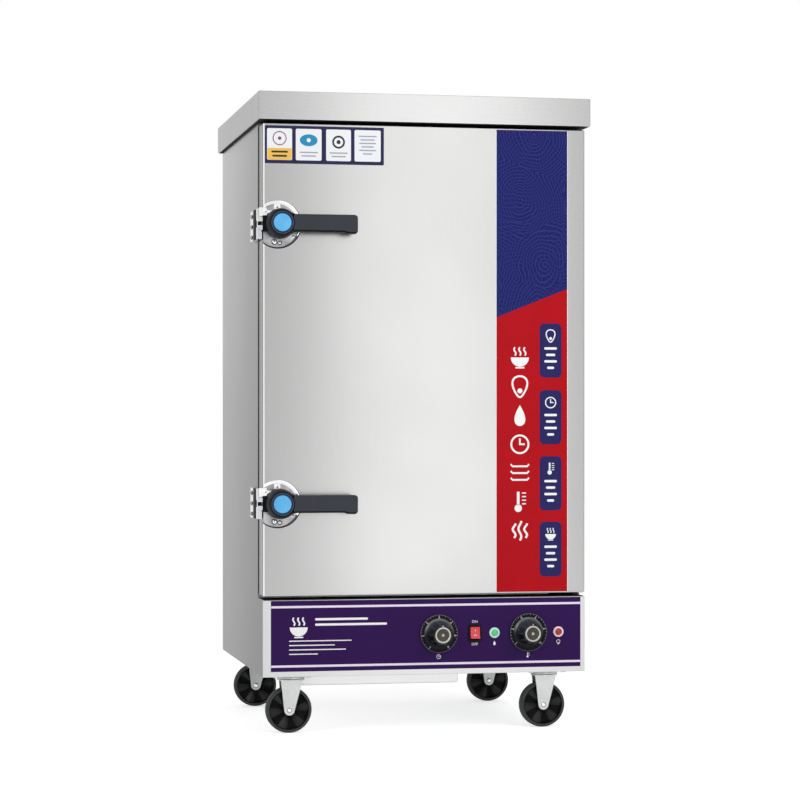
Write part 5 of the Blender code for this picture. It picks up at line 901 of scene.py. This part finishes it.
def screw_head(shape, place, radius, height=0.0016, turn=0.4):
    """A cross-slotted pan head along the place's local +Z."""
    shares = ((0, 1), (0.45, 0.96), (0.8, 0.75), (1, 0.3), (1, 0), (0, 0))
    lathe(shape, [(radius * out, height * up) for out, up in shares], place, 28)
    # The cross slot is a thin dark sheet on the head: painted shade for the slot's recess.
    slot = oblong(-0.62 * radius, -0.13 * radius, 0.62 * radius, 0.13 * radius)
    loops = [[(*point, lift) for point in slot] for lift in (height * 0.985, height * 1.02)]
    for angle in (turn, turn + math.pi / 2):
        skin(shape, loops, place @ rotation(angle, "Z"), 1)


def latch_plate(label, z):
    """The round plate: rolled bright rim with painted shade on its lower part, grey field, a black ring under
    it as a painted shadow, flat cut at the door's edge, block, screws and lug.
    """
    centre, edge = LATCH_X - 0.004, -HALF_WIDTH + 0.0005
    place = towards_front(centre, PLATE_Y, z)
    profile = mm((0, 1.8), (40, 1.8), (46.2, 2.2), (47.2, 2.1), (48, 1.7), (48.5, 1), (48.5, 0.3), (0, 0.3))
    shape = bmesh.new()
    # Rim faces low on the plate get a dark copy of the chrome: painted shade.
    for face in lathe(shape, profile, place, 120, 1):
        away = face.calc_center_median() - Vector((centre, 0, z))
        if math.hypot(away.x, away.z) > 0.03 and away.z + 0.5 * away.x < -0.004:
            face.material_index = 3
    field = mm((0, 2.6), (43.6, 2.6), (44.1, 2.3), (44.1, 1.2), (0, 1.2))
    lathe(shape, field, place @ move(-0.0018, -0.003, 0), 96)
    # Painted shadow: a black ring under the plate, shifted down and to the right so it shows along the lower
    # right edge.
    shadow_ring = mm((0, 1.1), (49, 1.1), (49.3, 0.8), (49.3, 0), (0, 0))
    lathe(shape, shadow_ring, place @ move(0.0006, -0.001, 0), 96, 2)
    geometry = shape.verts[:] + shape.edges[:] + shape.faces[:]
    cut = {"plane_co": (edge, 0, 0), "plane_no": (-1, 0, 0), "clear_outer": True}
    sliced = bmesh.ops.bisect_plane(shape, geom=geometry, **cut)
    rim = [item for item in sliced["geom_cut"] if isinstance(item, bmesh.types.BMEdge)]
    bmesh.ops.holes_fill(shape, edges=rim)
    spindle = mm((0, 0), (12, 0), (12, 29), (0, 29))
    lathe(shape, spindle, towards_front(LATCH_X, PLATE_Y - 0.002, z), 48)
    tab = mm(
        (-333.5, 15), (-333.5, 20.5), (-321.5, 22.2), (-321.5, 26.2), (-333.5, 27.2), (-334, 31.8),
        (-334.6, 32.5), (-348.6, 32.5), (-349.5, 31.6), (-349.5, 15),
    )
    lug = [(x, z + height) for x, height in tab]
    slab(shape, lug, FRONT_Y - 0.005, FRONT_Y - 0.0118, index=1)
    block(shape, (-0.3365, FRONT_Y - 0.0052, z + 0.019), (-0.328, PLATE_Y - 0.002, z + 0.029))
    finishes = [FIELD_CHROME, BRIGHT, GASKET, RIM_PAINTED_SHADE]
    piece("latch_plate_" + label, shape, "door", finishes, slot="chrome", replaces="latch_base_" + label)
    fittings = bmesh.new()
    front, upper = PLATE_Y - 0.0026, z + 0.0355
    slab(fittings, rounded(-0.311, upper, 0.013, 0.01, 0.0012, 3), front, front - 0.0016)
    screw_head(fittings, towards_front(-0.311, front - 0.0016, upper), 0.0036, turn=0.5)
    for x, height, radius, turn in ((-0.3165, -0.0366, 0.004, 1.1), (-0.3055, -0.0385, 0.0028, 0.2)):
        washer = [(0, 0.0002), (radius + 0.0019, 0.0002), (radius + 0.002, 0.0), (0, 0.0)]
        lathe(fittings, washer, towards_front(x, front, z + height), 24, 1)
        screw_head(fittings, towards_front(x, front - 0.0002, z + height), radius, 0.0012, turn)
    screw_head(fittings, towards_front(-0.2775, front, z - 0.0255), 0.003, turn=0.9)
    rivet = mm((0, 1.6), (1.8, 1.5), (3, 0.7), (3.2, 0), (0, 0))
    lathe(fittings, rivet, towards_front(-0.337, FRONT_Y - 0.0118, z + 0.0255), 24)
    piece("latch_screws_" + label, fittings, "door", [BRIGHT, SLOT_DARK], slot="chrome")


def lever_outline():
    """The bar seen from the front, about the latch's axis: neck fillets, and a tip with a small lip."""
    half, reach, corner, fillet, hub, lip = 0.018, 0.156, 0.007, 0.012, 0.03, 0.003
    rise = half + fillet
    along = math.sqrt((hub + fillet) ** 2 - rise**2)
    swing = math.atan2(rise, along)
    lip_start, lip_run = reach - 0.03, 0.012
    points = circle(along, -rise, fillet, 10, math.pi - swing, math.pi / 2)
    points += [(along + (lip_start - along) * step / 20, -half) for step in range(1, 20)]
    for step in range(9):
        share = step / 8
        ease = share * share * (3 - 2 * share)
        points.append((lip_start + lip_run * share, -half - lip * ease))
    points += circle(reach - corner, -half - lip + corner, corner, 8, -math.pi / 2, 0)
    points += circle(reach - corner, half - corner, corner, 8, 0, math.pi / 2)
    points += [(reach - corner - (reach - corner - along) * step / 24, half) for step in range(1, 24)]
    points += circle(along, rise, fillet, 10, -math.pi / 2, swing - math.pi)
    return points + [(0.014, 0.016), (0.014, -0.016)]


def inset(points, amount):
    """The outline moved inwards, for an outline that runs anticlockwise."""
    moved = []
    for number, (x, z) in enumerate(points):
        before, after = points[number - 1], points[(number + 1) % len(points)]
        along = Vector((after[0] - before[0], after[1] - before[1])).normalized()
        moved.append((x - along.y * amount, z + along.x * amount))
    return moved


def latch_handle(label, z):
    """The black lever: ringed conical hub with a filleted neck into a long bar with a lipped tip."""
    body, lever = "latch_" + label, "latch_lever_" + label
    place = towards_front(LATCH_X, HUB_Y, z)
    profile = mm(
        (0, 29.5), (18.5, 29.5), (18.7, 31.8), (19.3, 32.8), (20, 32.9), (20.4, 32.6), (20.8, 32.2),
        (21.2, 32.2), (21.6, 32.6), (22.5, 32.6), (22.9, 32.2), (25.2, 32), (26.2, 31.2), (28.2, 26),
        (29.8, 19), (30.8, 11), (31, 1.2), (30.4, 0), (12.5, 0), (12.5, 17), (0, 17),
    )
    hub = bmesh.new()
    # The small ring on the hub's face gets the lighter colour: a painted highlight.
    lathe(hub, profile, place, 96, [1] * 5 + [0] * 2 + [2] * 3 + [0] * 10)
    finishes = [HUB_BLACK, CAP_EDGE, HUB_RING_HIGHLIGHT]
    piece("latch_hub_" + label, hub, body, finishes, slot="black_plastic", replaces=lever)
    bar = bmesh.new()
    front, back, soft = HUB_Y - 0.0316, HUB_Y - 0.014, 0.0048
    rounds = [(0.0022, back), (0.0006, back - 0.0007), (0.0, back - 0.0022)]
    for step in range(7):
        turn = math.pi / 2 * step / 6
        rounds.append((soft * (1 - math.cos(turn)), front + soft * (1 - math.sin(turn))))
    outline = lever_outline()
    loops = []
    for amount, y in rounds:
        loops.append([(LATCH_X + x, y, z + height) for x, height in inset(outline, amount)])
    # Faces turned down get a darker copy of the plastic: painted shade under the bar.
    for face in skin(bar, loops):
        face.normal_update()
        face.material_index = 1 if face.normal.z < -0.3 else 0
    finishes = [LEVER_BLACK, LEVER_PAINTED_SHADE]
    piece("latch_bar_" + label, bar, body, finishes, sharp=40, slot="black_plastic", replaces=lever)
    cap = bmesh.new()
    profile = mm(
        (0, 4.7), (7.6, 4.6), (13, 4.3), (15.7, 4), (17.2, 3.5), (18, 2.8), (18.3, 1.8), (18.3, 0), (0, 0),
    )
    lathe(cap, profile, place @ move(0, 0, 0.0298), 72)
    button = {"slot": "blue_plastic", "replaces": "latch_cap_" + label}
    piece("latch_button_" + label, cap, body, [CAP_BLUE], **button)
    # Painted shadow: a black sheet on the claw's face beside the hub, where only shade falls.
    claw_shadow = bmesh.new()
    outline = mm((-13.5, 16.5), (-35, 16.5), (-36.5, 14.8), (-36.5, -14.8), (-35, -16.5), (-13.5, -16.5))
    claw_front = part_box("latch_claw_" + label)[0].y
    outline = [(LATCH_X + x, z + height) for x, height in outline]
    slab(claw_shadow, outline, claw_front - 0.00003, claw_front - 0.0004)
    piece("latch_claw_shadow_" + label, claw_shadow, body, [LEVER_PAINTED_SHADE], slot="black_plastic")


def keeper_detail(label, z):
    """Three screws in dark slots on the keeper's arm, its dark strip, and the pad behind the claw."""
    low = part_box("keeper_" + label)[0]
    heads = bmesh.new()
    washer = mm((0, 0.7), (4.6, 0.7), (5, 0.4), (5, 0), (0, 0))
    aside = rotation(-math.pi / 2, "Y")
    for shift in (0.02, -0.0015, -0.023):
        place = move(low.x, FRONT_Y + 0.079, z + shift) @ aside
        lathe(heads, washer, place @ Matrix.Diagonal((0.92, 2.1, 1, 1)), 32, 1)
        screw_head(heads, place @ move(0, 0, 0.0007), 0.0034, 0.002, 0.5 + shift * 40)
    piece("keeper_screws_" + label, heads, "cabinet", [FIELD_CHROME, SLOT_DARK], slot="chrome")
    strip = bmesh.new()
    block(strip, (low.x - 0.0006, FRONT_Y + 0.02, z - 0.0309), (low.x - 0.00005, FRONT_Y + 0.056, z + 0.0309))
    block(strip, (low.x + 0.0003, low.y - 0.0003, z - 0.0075), (low.x + 0.0087, low.y - 0.00003, z + 0.0075))
    piece("keeper_strip_" + label, strip, "cabinet", [GASKET])


# Casters
def wheel(label):
    """Grey tread on a black wheel whose web has six spokes with sloping sides, and its hub."""
    place = towards_front(*(sum(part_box("caster_wheel_" + label), Vector()) / 2))
    body = "wheel_" + label
    stands_for = {"slot": "wheel_plastic", "replaces": "caster_wheel_" + label}
    side = mm(
        (48, 5.5), (47.9, 7.5), (47.4, 9.6), (46.4, 11.1), (44.9, 12.1), (43, 12.5), (41.6, 12.4),
        (41, 11.8), (40.4, 11), (39.8, 10.4), (39.4, 6), (38, 3), (14, 3), (13.5, 6), (13.2, 11.2),
        (12.4, 12.2), (11.2, 12.5), (5.6, 12.5),
    )
    other = [(radius, -height) for radius, height in reversed(side)]
    shape = bmesh.new()
    lathe(shape, side + other, place, 96, [1] * 6 + [0] * 23 + [1] * 7, closed=True)
    piece("wheel_detail_" + label, shape, body, [WHEEL_BLACK, TREAD_GREY], **stands_for)
    web = bmesh.new()
    radii, thick = (0.0134, 0.02, 0.028, 0.035, 0.0399), 0.0012
    heights = (0.0112, 0.0066, 0.0036, 0.0058)
    steps = 6 * len(heights)
    for face in (1, -1):
        rings = []
        for radius, sink in [(radius, 0) for radius in radii] + [(radii[0], thick), (radii[-1], thick)]:
            round_it = enumerate(turned(radius, 0, steps, 0.6))
            points = [(x, y, face * (heights[n % 4] - sink)) for n, (x, y, _) in round_it]
            rings.append(corners(web, points, place))
        for one, two in zip(rings[:4], rings[1:]):
            # Flanks beside each spoke's crest get the lighter copy of the black: painted highlight, the
            # pockets between staying dark.
            for step, flank in enumerate(bridge(web, one, two)):
                flank.material_index = 1 if step % 4 in (0, 3) else 0
        for one, two in ((0, 5), (4, 6), (5, 6)):
            bridge(web, rings[one], rings[two])
    piece("wheel_web_" + label, web, body, [WHEEL_BLACK, SPOKE_PAINTED_HIGHLIGHT], sharp=9, **stands_for)


def caster_bolts(label):
    """Four bolt heads on the caster's plate, and the domed ends of its axle."""
    low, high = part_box("caster_plate_" + label)
    centre = (low + high) / 2
    shape = bmesh.new()
    head = mm((0, 4.2), (5, 4.2), (5.7, 3.6), (5.7, 0), (0, 0))
    for x in (centre.x - 0.035, centre.x + 0.035):
        for y in (centre.y - 0.028, centre.y + 0.028):
            place = move(x, y, high.z - 0.003) @ rotation(math.pi, "X")
            lathe(shape, head, place, 6)
    piece("caster_bolts_" + label, shape, "cabinet", [ZINC], slot="zinc_plated", sharp=25)
    rivets = bmesh.new()
    axle = sum(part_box("caster_wheel_" + label), Vector()) / 2
    dome = mm((0, 2.2), (2.4, 2), (3.8, 1.2), (4.2, 0.6), (5, 0.5), (5, 0), (0, 0))
    for towards, y in ((towards_front, axle.y - 0.0177), (towards_back, axle.y + 0.0177)):
        lathe(rivets, dome, towards(axle.x, y, axle.z), 32, [0, 0, 0, 1, 1, 1])
    piece("axle_rivets_" + label, rivets, "swivel_" + label, [BRIGHT, SLOT_DARK], slot="zinc_plated")


# Fasteners on the back
def back_screws():
    shape = bmesh.new()
    edges = (-0.333, 0.333)
    spots = [(x, z, 0.4 + 7 * x) for x in (*edges, -0.11, 0.11) for z in (0.1295, 1.25)]
    spots += [(x, z, 0.9 + 5 * z) for x in edges for z in (0.36, 0.6, 0.84, 1.08)]
    for x, z, turn in spots:
        screw_head(shape, towards_back(x, BACK_Y, z), 0.0036, 0.0018, turn)
    piece("back_screws", shape, "cabinet", [ZINC, SLOT_DARK], slot="zinc_plated")


# Stage
def camera():
    data = bpy.data.cameras.new("camera")
    data.sensor_width = 36
    data.lens = 2501 / 800 * 36
    data.shift_y = 0.02775
    data.clip_end = 60
    seen = link(bpy.data.objects.new("camera", data))
    seen.location = (-1.064, FRONT_Y - 5.061, 0.644)
    seen.rotation_euler = (math.radians(90), 0, math.radians(-11.28))
    bpy.context.scene.camera = seen


def area(name, place, target, width, height, power, mirrored=True):
    data = bpy.data.lights.new(name, "AREA")
    data.shape = "RECTANGLE"
    data.size, data.size_y = width, height
    data.energy = power
    light = link(bpy.data.objects.new(name, data))
    light.location = place
    light.rotation_euler = (Vector(target) - Vector(place)).to_track_quat("-Z", "Y").to_euler()
    light.visible_camera = False
    light.visible_glossy = mirrored


def lighting():
    """A soft key, a fill, an upright strip that the door mirrors, and a white world."""
    area("key", (1.9, -3.2, 2.9), (0, 0, 0.7), 2.2, 2.2, 50, mirrored=False)
    area("fill", (-3.2, -2.2, 2.2), (0, 0, 0.7), 2.4, 2.4, 34)
    area("strip", (0.315, -1.7, 1.35), (0.315, 0, 1.35), 0.58, 2.5, 5.7)
    world = bpy.data.worlds.new("studio")
    bpy.context.scene.world = world
    world.use_nodes = True
    nodes = Nodes(world.node_tree)
    background = world.node_tree.nodes["Background"].inputs
    background["Color"].default_value = (1, 1, 1, 1)
    nodes.feed(background["Strength"], nodes.remap(nodes.stage_light(), 0, 1, 0.52, 1))


def floor():
    look = Look("pale_floor", (0.86, 0.86, 0.86), 0.75)
    look.paint("Specular IOR Level", 0.2)
    look.paint("Base Color", look.mix(look.noise(40, 3, 0.6), (0.85, 0.85, 0.85), (0.87, 0.87, 0.87)))
    look.paint("Emission Color", (1, 1, 1, 1))
    look.paint("Emission Strength", look.math("MULTIPLY", look.stage_light(), 0.55))
    mesh = bpy.data.meshes.new("floor")
    half = 14.0
    mesh.from_pydata([(*corner, 0) for corner in oblong(-half, -half, half, half)], [], [(0, 1, 2, 3)])
    mesh.materials.append(look.material)
    link(bpy.data.objects.new("floor", mesh))


camera()
seals_and_gap_shadows()
door_graphics()
door_marks()
sticker_strip()
panel_film()
panel_marks()
dial("timer", TIMER_X, ("0", "10", "20", "30", "40", "50", "60"), 290)
dial("thermostat", THERMOSTAT_X, ("0", "30", "50", "70", "90", "110"), 260)
lamp("green", GREEN_X, MINT_RIM, GREEN_LENS)
lamp("red", RED_X, PINK_RIM, RED_LENS)
rocker_marks()
for latch, latch_z in LATCHES.items():
    latch_plate(latch, latch_z)
    latch_handle(latch, latch_z)
    keeper_detail(latch, latch_z)
for corner in CORNERS:
    wheel(corner)
    caster_bolts(corner)
back_screws()
floor()
lighting()
bpy.context.scene.view_settings.view_transform = "Standard"
